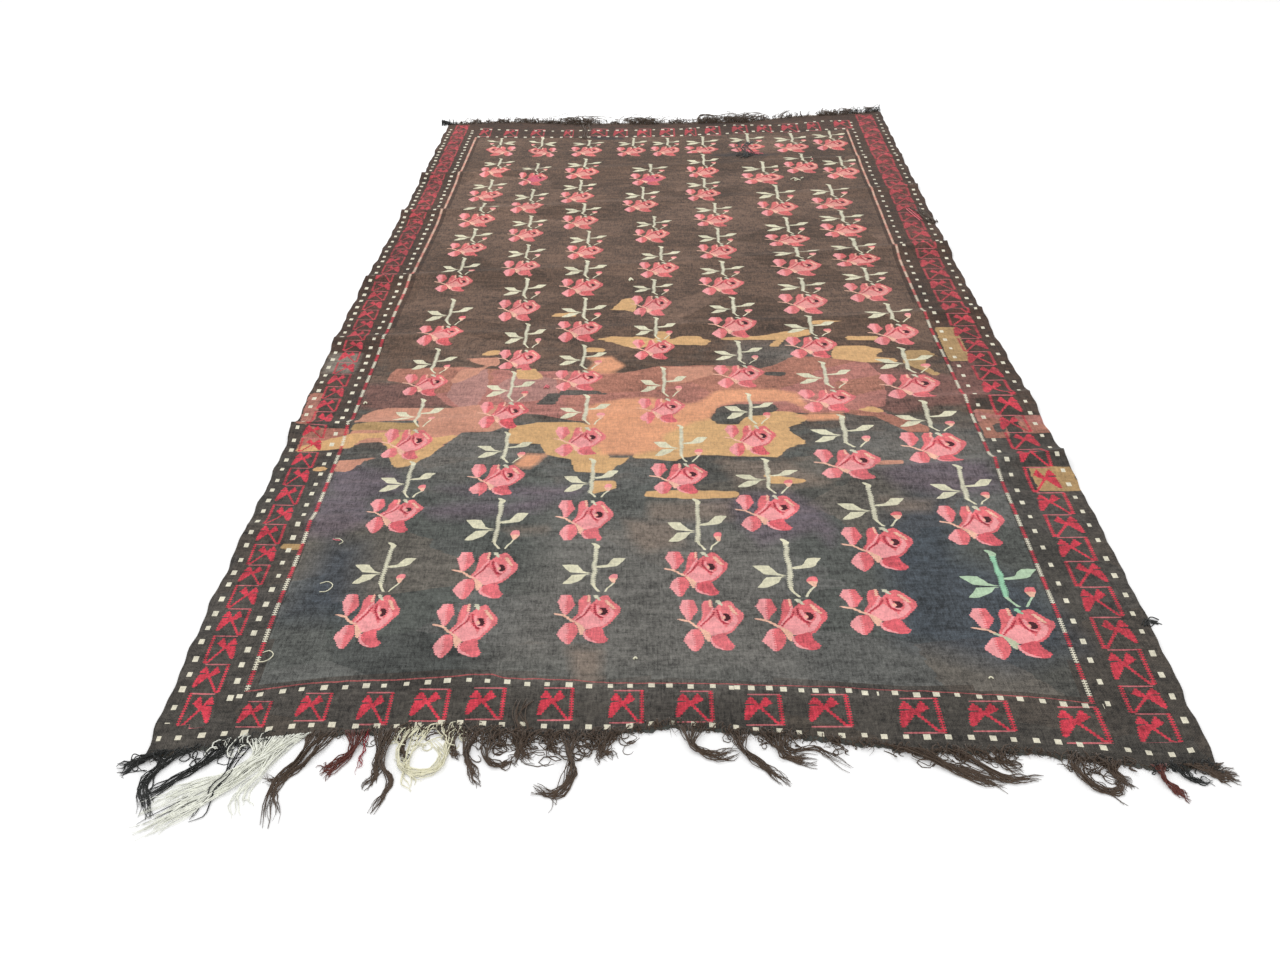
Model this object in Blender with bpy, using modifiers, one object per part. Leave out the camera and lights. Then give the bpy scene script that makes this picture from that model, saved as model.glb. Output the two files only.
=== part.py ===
"""A flat-woven wool rug: the woven cloth, and a fringed web along each of its two ends.

Modelled in metres with +Z up. X runs across the rug and Y along it, from the front end to
the back end. The tables measure Y from the line through the front end of the cloth. An
empty then carries every piece, so that the middle of the footprint comes to the origin.
The rug lies on z = 0.
"""

import math

import bmesh
import bpy
import numpy as np
from mathutils import Vector

CLOTH_THICKNESS = 0.003
COLUMNS = 16                 # grid columns across the cloth
NEAR_REACH = 0.105           # from a crease's crest to flat cloth on its long, front side
FAR_REACH = 0.040            # and on its short, back side
ROWS_BETWEEN_CREASES = 2     # extra grid rows on each flat stretch

WEB_WIDTH = 0.007            # the bound strip that the fringe grows from
PARTING = 0.0003             # between the cloth's end and the web
SLOTS_PER_COLUMN = 7         # fringe strands for each grid column of the cloth
ROOT_FILL = 0.5              # a strand's root width as a share of its slot
ROOT_LIFT = 0.0004           # underside of a strand above the floor where it leaves the web
STRAND_THICKNESS = 0.0024
TIP_THICKNESS = 0.0014
TIP_FILL = 0.5               # a strand's tip width as a share of the room it has there
TIP_WIDTH_MOST = 0.004
TIP_WIDTH_LEAST = 0.0011

# Side edges of the cloth: y, x of the left edge, x of the right edge
SIDE_EDGES = (
    (-0.05, -0.998, 0.980),
    (0.30, -1.006, 0.995),
    (0.70, -1.002, 1.004),
    (1.20, -1.001, 1.003),
    (1.60, -0.998, 0.996),
    (1.95, -0.983, 0.998),
    (2.35, -0.964, 1.008),
    (2.80, -0.950, 1.014),
    (3.40, -0.934, 1.028),
)

# The two ends of the cloth: x, y
FRONT_END = (
    (-1.00, -0.044), (-0.87, -0.018), (-0.70, 0.006), (-0.46, 0.021), (-0.18, 0.003),
    (-0.02, 0.024), (0.21, 0.003), (0.44, -0.029), (0.63, -0.031), (0.85, -0.064), (1.00, -0.061),
)
BACK_END = (
    (-0.94, 3.249), (-0.73, 3.275), (-0.62, 3.277), (-0.31, 3.257), (-0.08, 3.257),
    (0.15, 3.268), (0.43, 3.291), (0.62, 3.348), (0.76, 3.370), (0.95, 3.399), (1.04, 3.433),
)

# Creases that stayed from folding. Each crosses the rug from edge to edge: the crest's y at
# the left edge and at the right edge, then its rise at the left edge, a quarter in, the
# middle, three quarters in, and the right edge.
CREASES = (
    (0.574, 0.849, 0.011, 0.005, 0.004, 0.009, 0.023),
    (0.965, 1.122, 0.021, 0.009, 0.004, 0.006, 0.016),
    (1.408, 1.584, 0.014, 0.007, 0.006, 0.006, 0.016),
    (1.788, 2.048, 0.016, 0.008, 0.004, 0.008, 0.019),
    (2.300, 2.560, 0.019, 0.008, 0.005, 0.004, 0.010),
    (2.664, 2.880, 0.015, 0.006, 0.004, 0.005, 0.008),
)
CREASE_ROWS = (-1.0, -0.66, -0.33, 0.0, 0.5, 1.0)  # grid rows over a crease, in reaches
CREASE_SHARPNESS = 1.6

# Locks of the front fringe: x where the root starts, x where it ends, x and y of the first
# strand's tip, x and y of the last strand's tip, how far the lock bows out to +X half way
FRONT_LOCKS = (
    (-1.000, -0.945, -1.034, -0.094, -0.998, -0.112, 0.006),
    (-0.940, -0.850, -0.984, -0.132, -0.940, -0.160, 0.010),
    (-0.810, -0.692, -0.936, -0.206, -0.800, -0.136, 0.010),
    (-0.690, -0.652, -0.730, -0.184, -0.698, -0.180, -0.006),
    (-0.650, -0.595, -0.664, -0.078, -0.634, -0.088, 0.000),
    (-0.592, -0.535, -0.570, -0.110, -0.538, -0.158, -0.008),
    (-0.532, -0.442, -0.524, -0.056, -0.456, -0.050, 0.010),
    (-0.425, -0.372, -0.400, -0.096, -0.372, -0.112, -0.008),
    (-0.322, -0.262, -0.312, -0.058, -0.272, -0.064, 0.006),
    (-0.232, -0.190, -0.270, -0.092, -0.256, -0.132, 0.026),
    (-0.160, -0.105, -0.146, -0.054, -0.108, -0.048, 0.004),
    (-0.006, 0.050, 0.074, -0.042, 0.100, -0.028, -0.006),
    (0.082, 0.135, 0.168, -0.104, 0.190, -0.088, -0.010),
    (0.138, 0.212, 0.200, -0.058, 0.246, -0.048, 0.004),
    (0.368, 0.500, 0.520, -0.104, 0.640, -0.112, -0.006),
    (0.515, 0.612, 0.585, -0.068, 0.668, -0.074, -0.004),
    (0.708, 0.800, 0.738, -0.146, 0.802, -0.112, 0.010),
    (0.848, 0.892, 0.878, -0.138, 0.894, -0.120, -0.006),
    (0.908, 0.982, 0.950, -0.112, 1.006, -0.092, 0.008),
)

# Locks of the back fringe, in the same columns
BACK_LOCKS = (
    (-0.940, -0.890, -0.968, 3.302, -0.930, 3.326, 0.000),
    (-0.850, -0.780, -0.846, 3.316, -0.806, 3.330, 0.004),
    (-0.735, -0.680, -0.716, 3.330, -0.684, 3.322, -0.006),
    (-0.640, -0.560, -0.640, 3.338, -0.590, 3.326, 0.004),
    (-0.500, -0.440, -0.486, 3.312, -0.446, 3.304, 0.000),
    (-0.410, -0.350, -0.402, 3.350, -0.356, 3.344, 0.005),
    (-0.345, -0.285, -0.320, 3.318, -0.290, 3.332, -0.006),
    (-0.220, -0.160, -0.214, 3.306, -0.176, 3.300, 0.000),
    (-0.100, -0.010, -0.090, 3.330, -0.030, 3.318, 0.006),
    (0.050, 0.110, 0.064, 3.316, 0.102, 3.322, 0.000),
    (0.180, 0.270, 0.196, 3.372, 0.262, 3.346, -0.008),
    (0.290, 0.430, 0.304, 3.360, 0.410, 3.374, 0.004),
    (0.460, 0.510, 0.474, 3.352, 0.504, 3.358, 0.000),
    (0.545, 0.600, 0.584, 3.446, 0.612, 3.420, -0.012),
    (0.745, 0.830, 0.762, 3.438, 0.820, 3.446, 0.004),
    (0.850, 0.930, 0.862, 3.462, 0.914, 3.468, 0.004),
    (0.950, 1.028, 0.960, 3.482, 1.020, 3.494, 0.000),
)

TIP_STAGGER = (0.0, 0.10, -0.08, 0.05, -0.12)        # uneven lengths within a lock, in turn
STUB_LENGTHS = (0.009, 0.016, 0.011, 0.020, 0.013)  # frayed ends between the locks, in turn
STUB_CLEARANCE = 0.030                              # no stub this near a lock's root

CLOTH_COLOUR = (0.030, 0.031, 0.033)
FRONT_FRINGE_COLOUR = (0.075, 0.050, 0.045)
BACK_FRINGE_COLOUR = (0.060, 0.042, 0.038)


def clear_scene():
    for obj in list(bpy.data.objects):
        bpy.data.objects.remove(obj, do_unlink=True)


def column(table, index):
    return [row[index] for row in table]


def make_material(name, colour, roughness):
    material = bpy.data.materials.new(name)
    material.use_nodes = True
    shader = material.node_tree.nodes["Principled BSDF"]
    shader.inputs["Base Color"].default_value = (*colour, 1.0)
    shader.inputs["Roughness"].default_value = roughness
    shader.inputs["Metallic"].default_value = 0.0
    return material


def crease_profile(offset):
    """Height of a crease of rise 1, at a signed distance from its crest."""
    reach = FAR_REACH if offset > 0.0 else NEAR_REACH
    return max(0.0, 1.0 - abs(offset) / reach) ** CREASE_SHARPNESS


def side_x(y, across):
    left = np.interp(y, column(SIDE_EDGES, 0), column(SIDE_EDGES, 1))
    right = np.interp(y, column(SIDE_EDGES, 0), column(SIDE_EDGES, 2))
    return left + (right - left) * across


def end_points(end):
    """The corner points of one end of the cloth, one for each line of its grid."""
    points = []
    for line in range(COLUMNS + 1):
        across = line / COLUMNS
        x = side_x(end[0][1], across) if line == 0 else side_x(end[-1][1], across)
        y = np.interp(x, column(end, 0), column(end, 1))
        points.append(Vector((side_x(y, across), y, 0.0)))
    return points


def grid_rows():
    """Straight rows across the cloth, as y at the left edge and y at the right edge."""
    rows = [(FRONT_END[0][1], FRONT_END[-1][1])]
    for left_y, right_y, *_ in CREASES:
        start_left, start_right = left_y - NEAR_REACH, right_y - NEAR_REACH
        previous_left, previous_right = rows[-1]
        for step in range(1, ROWS_BETWEEN_CREASES + 1):
            share = step / (ROWS_BETWEEN_CREASES + 1)
            rows.append((
                previous_left + (start_left - previous_left) * share,
                previous_right + (start_right - previous_right) * share,
            ))
        for share in CREASE_ROWS:
            offset = share * (FAR_REACH if share > 0.0 else NEAR_REACH)
            rows.append((left_y + offset, right_y + offset))
    previous_left, previous_right = rows[-1]
    for step in range(1, ROWS_BETWEEN_CREASES + 2):
        share = step / (ROWS_BETWEEN_CREASES + 1)
        rows.append((
            previous_left + (BACK_END[0][1] - previous_left) * share,
            previous_right + (BACK_END[-1][1] - previous_right) * share,
        ))
    return rows


def crease_height(y, across):
    height = 0.0
    for left_y, right_y, *rises in CREASES:
        crest = left_y + (right_y - left_y) * across
        rise = np.interp(across, np.linspace(0.0, 1.0, len(rises)), rises)
        height += rise * crease_profile(y - crest)
    return height


def add_object(name, mesh, material, collection, origin):
    obj = bpy.data.objects.new(name, mesh)
    mesh.materials.append(material)
    obj.parent = origin
    collection.objects.link(obj)
    return obj


def make_cloth(collection, origin):
    rows = grid_rows()
    last_row = len(rows) - 1
    front, back = end_points(FRONT_END), end_points(BACK_END)
    grid = bmesh.new()
    bmesh.ops.create_grid(grid, x_segments=COLUMNS, y_segments=last_row, size=0.5)
    for vert in grid.verts:
        line = round((vert.co.x + 0.5) * COLUMNS)
        row = round((vert.co.y + 0.5) * last_row)
        across = line / COLUMNS
        if row in (0, last_row):
            vert.co = front[line] if row == 0 else back[line]
            continue
        left_y, right_y = rows[row]
        y = left_y + (right_y - left_y) * across
        vert.co = Vector((side_x(y, across), y, crease_height(y, across)))
    mesh = bpy.data.meshes.new("kilim_cloth")
    grid.to_mesh(mesh)
    grid.free()
    cloth = add_object(
        "kilim_cloth", mesh, make_material("cloth_wool", CLOTH_COLOUR, 0.95), collection, origin
    )
    solidify = cloth.modifiers.new("thickness", "SOLIDIFY")
    solidify.thickness = CLOTH_THICKNESS
    solidify.offset = 1.0
    return cloth


def strand_points(root, tip, bow, segments):
    """Points along a strand's middle, on a curve that leaves the web and bends to its tip."""
    middle = (root + tip) / 2.0 + Vector((bow * 2.0, 0.0, 0.0))
    points = []
    for step in range(1, segments + 1):
        t = step / segments
        points.append(root * (1 - t) ** 2 + middle * 2 * t * (1 - t) + tip * t ** 2)
    return points


def lock_tip(locks, x):
    """Tip, bow and room at the tip for the strand rooted at x, or None between locks."""
    for start, end, first_x, first_y, last_x, last_y, bow in locks:
        if start <= x <= end:
            share = (x - start) / (end - start)
            first, last = Vector((first_x, first_y, 0.0)), Vector((last_x, last_y, 0.0))
            return first.lerp(last, share), bow, (last - first).length / (end - start)
    return None


def near_lock(locks, x):
    return any(row[0] - STUB_CLEARANCE < x < row[1] + STUB_CLEARANCE for row in locks)


def place_ring(face, centre, along, width, low, high):
    """Moves a strand's end face: level, and square to the way the strand runs."""
    across = Vector((-along.y, along.x, 0.0)).normalized()
    middle = sum((vert.co for vert in face.verts), Vector()) / len(face.verts)
    old_across = face.normal.cross(Vector((0.0, 0.0, 1.0))) * -1.0
    for vert in face.verts:
        side = 0.5 if (vert.co - middle).dot(old_across) > 0.0 else -0.5
        height = high if vert.co.z > middle.z else low
        vert.co = Vector((centre.x, centre.y, height)) + across * width * side


def grow_strand(web, face, root, tip, bow, room, slot_width, outward):
    reach = (tip - root).length
    segments = 4 if reach > 0.09 else 3 if reach > 0.03 else 1
    bmesh.ops.inset_individual(web, faces=[face], thickness=0.0002, use_even_offset=True)
    root_width = slot_width * ROOT_FILL
    place_ring(face, root, outward, root_width, ROOT_LIFT, STRAND_THICKNESS)
    tip_width = min(max(slot_width * room * TIP_FILL, TIP_WIDTH_LEAST), TIP_WIDTH_MOST)
    before = root
    for step, point in enumerate(strand_points(root, tip, bow, segments), start=1):
        share = step / segments
        face = bmesh.ops.extrude_discrete_faces(web, faces=[face])["faces"][0]
        face.normal_update()
        along = (point - before).normalized()
        width = root_width + (tip_width - root_width) * math.sqrt(share)
        thickness = STRAND_THICKNESS + (TIP_THICKNESS - STRAND_THICKNESS) * share
        place_ring(face, point, along, width, 0.0, thickness)
        before = point


def make_fringe(name, end, locks, outward_sign, colour, collection, origin):
    corners = end_points(end)
    slots = COLUMNS * SLOTS_PER_COLUMN
    outward = Vector((0.0, outward_sign, 0.0))
    web = bmesh.new()
    bmesh.ops.create_grid(web, x_segments=slots, y_segments=1, size=0.5)
    for vert in web.verts:
        line = round((vert.co.x + 0.5) * slots)
        start = min(line // SLOTS_PER_COLUMN, COLUMNS - 1)
        share = line / SLOTS_PER_COLUMN - start
        is_outer = (vert.co.y > 0.0) == (outward_sign > 0.0)
        offset = PARTING + (WEB_WIDTH if is_outer else 0.0)
        vert.co = corners[start].lerp(corners[start + 1], share) + outward * offset
    lifted = bmesh.ops.extrude_face_region(web, geom=list(web.faces))["geom"]
    raised = [item for item in lifted if isinstance(item, bmesh.types.BMVert)]
    bmesh.ops.translate(web, verts=raised, vec=(0.0, 0.0, CLOTH_THICKNESS))
    bmesh.ops.recalc_face_normals(web, faces=list(web.faces))

    roots = [face for face in web.faces if face.normal.dot(outward) > 0.9]
    roots.sort(key=lambda face: face.calc_center_median().x)
    slot_width = (corners[-1].x - corners[0].x) / slots
    for index, face in enumerate(roots):
        centre = face.calc_center_median()
        root = Vector((centre.x, centre.y, 0.0))
        lock = lock_tip(locks, centre.x)
        if lock:
            tip, bow, room = lock
            tip += (tip - root) * TIP_STAGGER[index % len(TIP_STAGGER)]
        elif near_lock(locks, centre.x):
            continue
        else:
            tip, bow, room = root + outward * STUB_LENGTHS[index % len(STUB_LENGTHS)], 0.0, 0.5
        grow_strand(web, face, root, tip, bow, room, slot_width, outward)
    mesh = bpy.data.meshes.new(name)
    web.to_mesh(mesh)
    web.free()
    return add_object(name, mesh, make_material(name + "_wool", colour, 0.9), collection, origin)


def centre_footprint(pieces, origin):
    corners = [vert.co for piece in pieces for vert in piece.data.vertices]
    for axis in (0, 1):
        values = [corner[axis] for corner in corners]
        origin.location[axis] = -(min(values) + max(values)) / 2.0


def main():
    clear_scene()
    collection = bpy.data.collections.new("turkish_kilim_rug")
    bpy.context.scene.collection.children.link(collection)
    origin = bpy.data.objects.new("rug_origin", None)
    collection.objects.link(origin)
    pieces = [
        make_cloth(collection, origin),
        make_fringe(
            "fringe_front", FRONT_END, FRONT_LOCKS, -1.0, FRONT_FRINGE_COLOUR, collection, origin
        ),
        make_fringe(
            "fringe_back", BACK_END, BACK_LOCKS, 1.0, BACK_FRINGE_COLOUR, collection, origin
        ),
    ]
    centre_footprint(pieces, origin)


main()
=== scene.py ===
import math
import random

import bpy
import numpy as np
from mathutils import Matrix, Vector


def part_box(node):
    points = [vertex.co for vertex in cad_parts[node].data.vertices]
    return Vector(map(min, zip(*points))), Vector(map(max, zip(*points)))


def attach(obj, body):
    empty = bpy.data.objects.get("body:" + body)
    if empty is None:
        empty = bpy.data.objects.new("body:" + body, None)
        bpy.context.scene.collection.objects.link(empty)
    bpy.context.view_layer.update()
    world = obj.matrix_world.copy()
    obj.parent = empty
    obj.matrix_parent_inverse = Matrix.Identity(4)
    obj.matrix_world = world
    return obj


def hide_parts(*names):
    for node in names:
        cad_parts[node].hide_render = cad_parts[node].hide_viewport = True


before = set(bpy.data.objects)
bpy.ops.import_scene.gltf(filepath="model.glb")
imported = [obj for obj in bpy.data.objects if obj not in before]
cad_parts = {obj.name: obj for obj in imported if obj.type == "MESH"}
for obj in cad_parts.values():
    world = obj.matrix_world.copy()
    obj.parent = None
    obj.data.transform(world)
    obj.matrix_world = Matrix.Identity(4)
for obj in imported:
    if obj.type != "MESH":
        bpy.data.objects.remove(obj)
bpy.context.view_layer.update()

random.seed(31)

# Every place on the rug is in metres on the flat floor: x across it, y from the front end
# towards the back end. Only the last step of each piece moves it into the frame.

cloth = {
    "thickness": 0.0028,
    "cells": 156,            # across the cloth
    "rowLength": 0.0127,     # along it
    "nearReach": 0.105,      # from a crest to flat cloth on the long, front side
    "farReach": 0.040,       # and on the short, back side
    "sharpness": 1.6,
    "ripple": 0.0008,        # unevenness all over
    "edgeRipple": 0.0030,    # and along the two selvedges
    "edgeWander": 0.0022,    # how far the selvedges swing in and out
    "edgeShare": 0.04,       # share of the width that the selvedges' swing and ripple fade in
    "flatEnd": 0.038,        # from an end to where the folds begin
    "length": 3.30,          # as the rows of cells share it
    "flatSize": (2.034, 3.492),
    # y, x of the left edge, x of the right edge
    "sides": [
        (-0.05, -0.998, 0.980), (0.30, -1.006, 0.995), (0.70, -1.002, 1.004),
        (1.20, -1.001, 1.003), (1.60, -0.998, 0.996), (1.95, -0.983, 0.998),
        (2.35, -0.964, 1.008), (2.80, -0.950, 1.014), (3.40, -0.934, 1.028),
    ],
    # x, y along each end
    "frontEnd": [
        (-1.00, -0.044), (-0.87, -0.018), (-0.70, 0.006), (-0.46, 0.021), (-0.18, 0.003),
        (-0.02, 0.024), (0.21, 0.003), (0.44, -0.029), (0.63, -0.031), (0.85, -0.064),
        (1.00, -0.061),
    ],
    "backEnd": [
        (-0.94, 3.249), (-0.73, 3.275), (-0.62, 3.277), (-0.31, 3.257), (-0.08, 3.257),
        (0.15, 3.268), (0.43, 3.291), (0.62, 3.348), (0.76, 3.370), (0.95, 3.399), (1.04, 3.433),
    ],
    # crest's y at the left and the right edge, then its rise at five places from left to right
    "creases": [
        (0.574, 0.849, 0.011, 0.005, 0.004, 0.009, 0.023),
        (0.965, 1.122, 0.021, 0.009, 0.004, 0.006, 0.016),
        (1.408, 1.584, 0.014, 0.007, 0.006, 0.006, 0.016),
        (1.788, 2.048, 0.016, 0.008, 0.004, 0.008, 0.019),
        (2.300, 2.560, 0.019, 0.008, 0.005, 0.004, 0.010),
        (2.664, 2.880, 0.015, 0.006, 0.004, 0.005, 0.008),
    ],
}

# colours as they look in the picture, red, green, blue up to 255
wools = {
    "charcoal": (94, 97, 93), "slate": (110, 110, 107), "soot": (79, 82, 80), "umber": (116, 107, 97),
    # the back's browns: partly the wool's own colour, partly painted flare light that lightens the far
    # half
    "backBrown": (122, 100, 87), "backDark": (90, 73, 62),
    "borderNear": (78, 70, 64), "borderDark": (70, 55, 46), "farPetal": (212, 118, 108),
    # the next pale colour is no wool of the rug: it paints the sheen of the light on the ground
    "paintedSheen": (124, 121, 116), "navy": (76, 84, 94),
    "plum": (122, 106, 112), "dusk": (112, 104, 116), "cocoa": (142, 127, 115),
    "maroon": (143, 102, 95), "rust": (182, 126, 108), "rose": (188, 128, 118), "dusty": (186, 140, 132),
    "coral": (211, 153, 130), "orange": (233, 168, 131), "ochre": (224, 180, 129),
    "mustard": (190, 157, 112),
    "night": (96, 94, 89), "ash": (158, 150, 138), "smear": (66, 66, 68),
    "petal": (235, 116, 122), "deep": (226, 98, 108), "blush": (252, 168, 170), "pale": (250, 196, 172),
    "crimson": (188, 66, 80), "magenta": (214, 60, 122), "eye": (82, 48, 54),
    "leaf": (230, 225, 196), "stalk": (218, 214, 190), "mint": (160, 212, 178), "cream": (236, 230, 208),
    "border": (214, 74, 88), "borderFar": (190, 82, 88), "borderPale": (204, 118, 122),
    "line": (186, 100, 100),
}
# what the light makes of a colour
lightGain = 1.1
lightLift = 0.026
darkest, lightest = 0.004, 0.92


def linear(seen):
    parts = [((c / 255 + 0.055) / 1.055) ** 2.4 for c in seen]
    return [min(max((c - lightLift) / lightGain, darkest), lightest) for c in parts] + [1.0]


def tableAt(rows, where, column):
    return np.interp(where, [row[0] for row in rows], [row[column] for row in rows])


def sidesAt(y):
    return tableAt(cloth["sides"], y, 1), tableAt(cloth["sides"], y, 2)


def endsAt(x):
    return tableAt(cloth["frontEnd"], x, 1), tableAt(cloth["backEnd"], x, 1)


def edgeX(y, across):
    left, right = sidesAt(y)
    return left + (right - left) * across


# eye and aim of the picture, as the ends and sides of the rug set them
view = {"x": -0.0805, "y": -1.088, "height": 1.5326, "below": 39.69, "lens": 27.03}
cornerX = cloth["sides"][-1][2]
clothLow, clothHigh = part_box("kilim_cloth")
shiftX = clothHigh[0] - cornerX
shiftY = clothHigh[1] - float(tableAt(cloth["backEnd"], cornerX, 1))


def readPoints(obj):
    points = np.empty(len(obj.data.vertices) * 3)
    obj.data.vertices.foreach_get("co", points)
    return points.reshape(-1, 3)


def writePoints(obj, points):
    obj.data.vertices.foreach_set("co", points.ravel())
    obj.data.update()


def intoFrame(obj):
    writePoints(obj, readPoints(obj) + (shiftX, shiftY, 0.0))


# Shader building blocks. A value is a number, the name of a wool or a wire, which is a node's
# output. Reckoning with wires adds math nodes to the tree in work.
bench = {"tree": None}


class Wire:
    def __init__(self, socket):
        self.socket = socket

    def __add__(self, other):
        return calc("ADD", self, other)

    def __sub__(self, other):
        return calc("SUBTRACT", self, other)

    def __rsub__(self, other):
        return calc("SUBTRACT", other, self)

    def __mul__(self, other):
        return calc("MULTIPLY", self, other)

    def __truediv__(self, other):
        return calc("DIVIDE", self, other)

    def __gt__(self, other):
        return calc("GREATER_THAN", self, other)

    def __lt__(self, other):
        return calc("LESS_THAN", self, other)


def plug(value, socket):
    if isinstance(value, Wire):
        bench["tree"].links.new(value.socket, socket)
    else:
        socket.default_value = linear(wools[value]) if isinstance(value, str) else value


def addNode(kind, values, output=0, **settings):
    node = bench["tree"].nodes.new("ShaderNode" + kind)
    for name, setting in settings.items():
        setattr(node, name, setting)
    for name, value in values.items():
        plug(value, node.inputs[name])
    return Wire(node.outputs[output])


def calc(operation, *values):
    return addNode("Math", dict(enumerate(values)), operation=operation)


def mapRange(value, fromLow, fromHigh, toLow=0.0, toHigh=1.0, slope="LINEAR"):
    limits = dict(enumerate((value, fromLow, fromHigh, toLow, toHigh)))
    return addNode("MapRange", limits, interpolation_type=slope)


def mixFloat(share, under, over):
    return addNode("Mix", {0: share, 2: under, 3: over}, data_type="FLOAT")


def mixColour(share, under, over):
    return addNode("Mix", {0: share, 6: under, 7: over}, 2, data_type="RGBA")


def joinXyz(x, y, z=0.0):
    return addNode("CombineXYZ", {0: x, 1: y, 2: z})


def split(value, kind="XYZ"):
    first = addNode("Separate" + kind, {0: value})
    return [Wire(socket) for socket in first.socket.node.outputs]


def attribute(name):
    return split(addNode("Attribute", {}, "Vector", attribute_name=name))


def noise(vector, scale, detail=2.0, roughness=0.5):
    values = {"Vector": vector, "Scale": scale, "Detail": detail, "Roughness": roughness}
    return addNode("TexNoise", values, "Fac")


def chance(*values):
    return addNode("TexWhiteNoise", {"Vector": joinXyz(*values)}, "Value", noise_dimensions="3D")


def between(value, low, high):
    return (value > low) * (value < high)


def newWool(name):
    material = bpy.data.materials.new(name)
    material.use_nodes = True
    bench["tree"] = material.node_tree
    return material


def finishWool(material, colour, tone, height, finish):
    # the colour made lighter and darker by the tone, on a bumpy, dull and hairy surface
    bump = {"Strength": finish["strength"], "Distance": finish["depth"], "Height": height}
    surface = {
        "Base Color": addNode("VectorMath", {0: colour, "Scale": tone}, operation="SCALE"),
        "Normal": addNode("Bump", bump),
        "Roughness": finish["roughness"], "Specular IOR Level": finish["gloss"],
        "Sheen Weight": finish["sheen"], "Sheen Roughness": finish["sheenRoughness"],
    }
    for name, value in surface.items():
        plug(value, material.node_tree.nodes["Principled BSDF"].inputs[name])


# A woven figure is a table: each row gives a height and where the colour starts and stops at
# that height, in 32nds of the figure. A ramp holds the rows, so the colour fills the span
# between its two channels.
figureGrid = 32
figureReach = 40         # widest value that a ramp holds, with a margin of 4 below zero
figureMargin = 4
rampGap = 0.0045         # just over one step of a ramp
narrowest = 0.002        # teeth stand on a span only where it is wider than this


def onRamp(value):
    return (value + figureMargin) / figureReach


def widthOnRamp(value):
    return calc("MULTIPLY_ADD", value, figureGrid / figureReach, onRamp(0))


def spanMask(height, wide, outlines, teeth=None):
    stops = []
    for rows in outlines:
        spots = [(h / figureGrid, a, b) for h, a, b in sorted(rows)]
        for (h, a, b), gap in ((spots[0], -rampGap), (spots[-1], rampGap)):
            stops.append((h + gap, (a + b) / 2, (a + b) / 2))
        stops += spots
    ramp = addNode("ValToRGB", {0: height})
    elements = ramp.socket.node.color_ramp.elements
    while len(elements) < len(stops):
        elements.new(1.0)
    for element, (position, start, stop) in zip(elements, sorted(stops)):
        element.position = min(max(position, 0.0), 1.0)
        element.color = (onRamp(start), onRamp(stop), 0, 1)
    parts = split(ramp, "Color")
    if teeth is None:
        return between(wide, parts[0], parts[1])
    return between(wide, parts[0] - teeth, parts[1] + teeth) * (parts[1] - parts[0] > narrowest)


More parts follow.
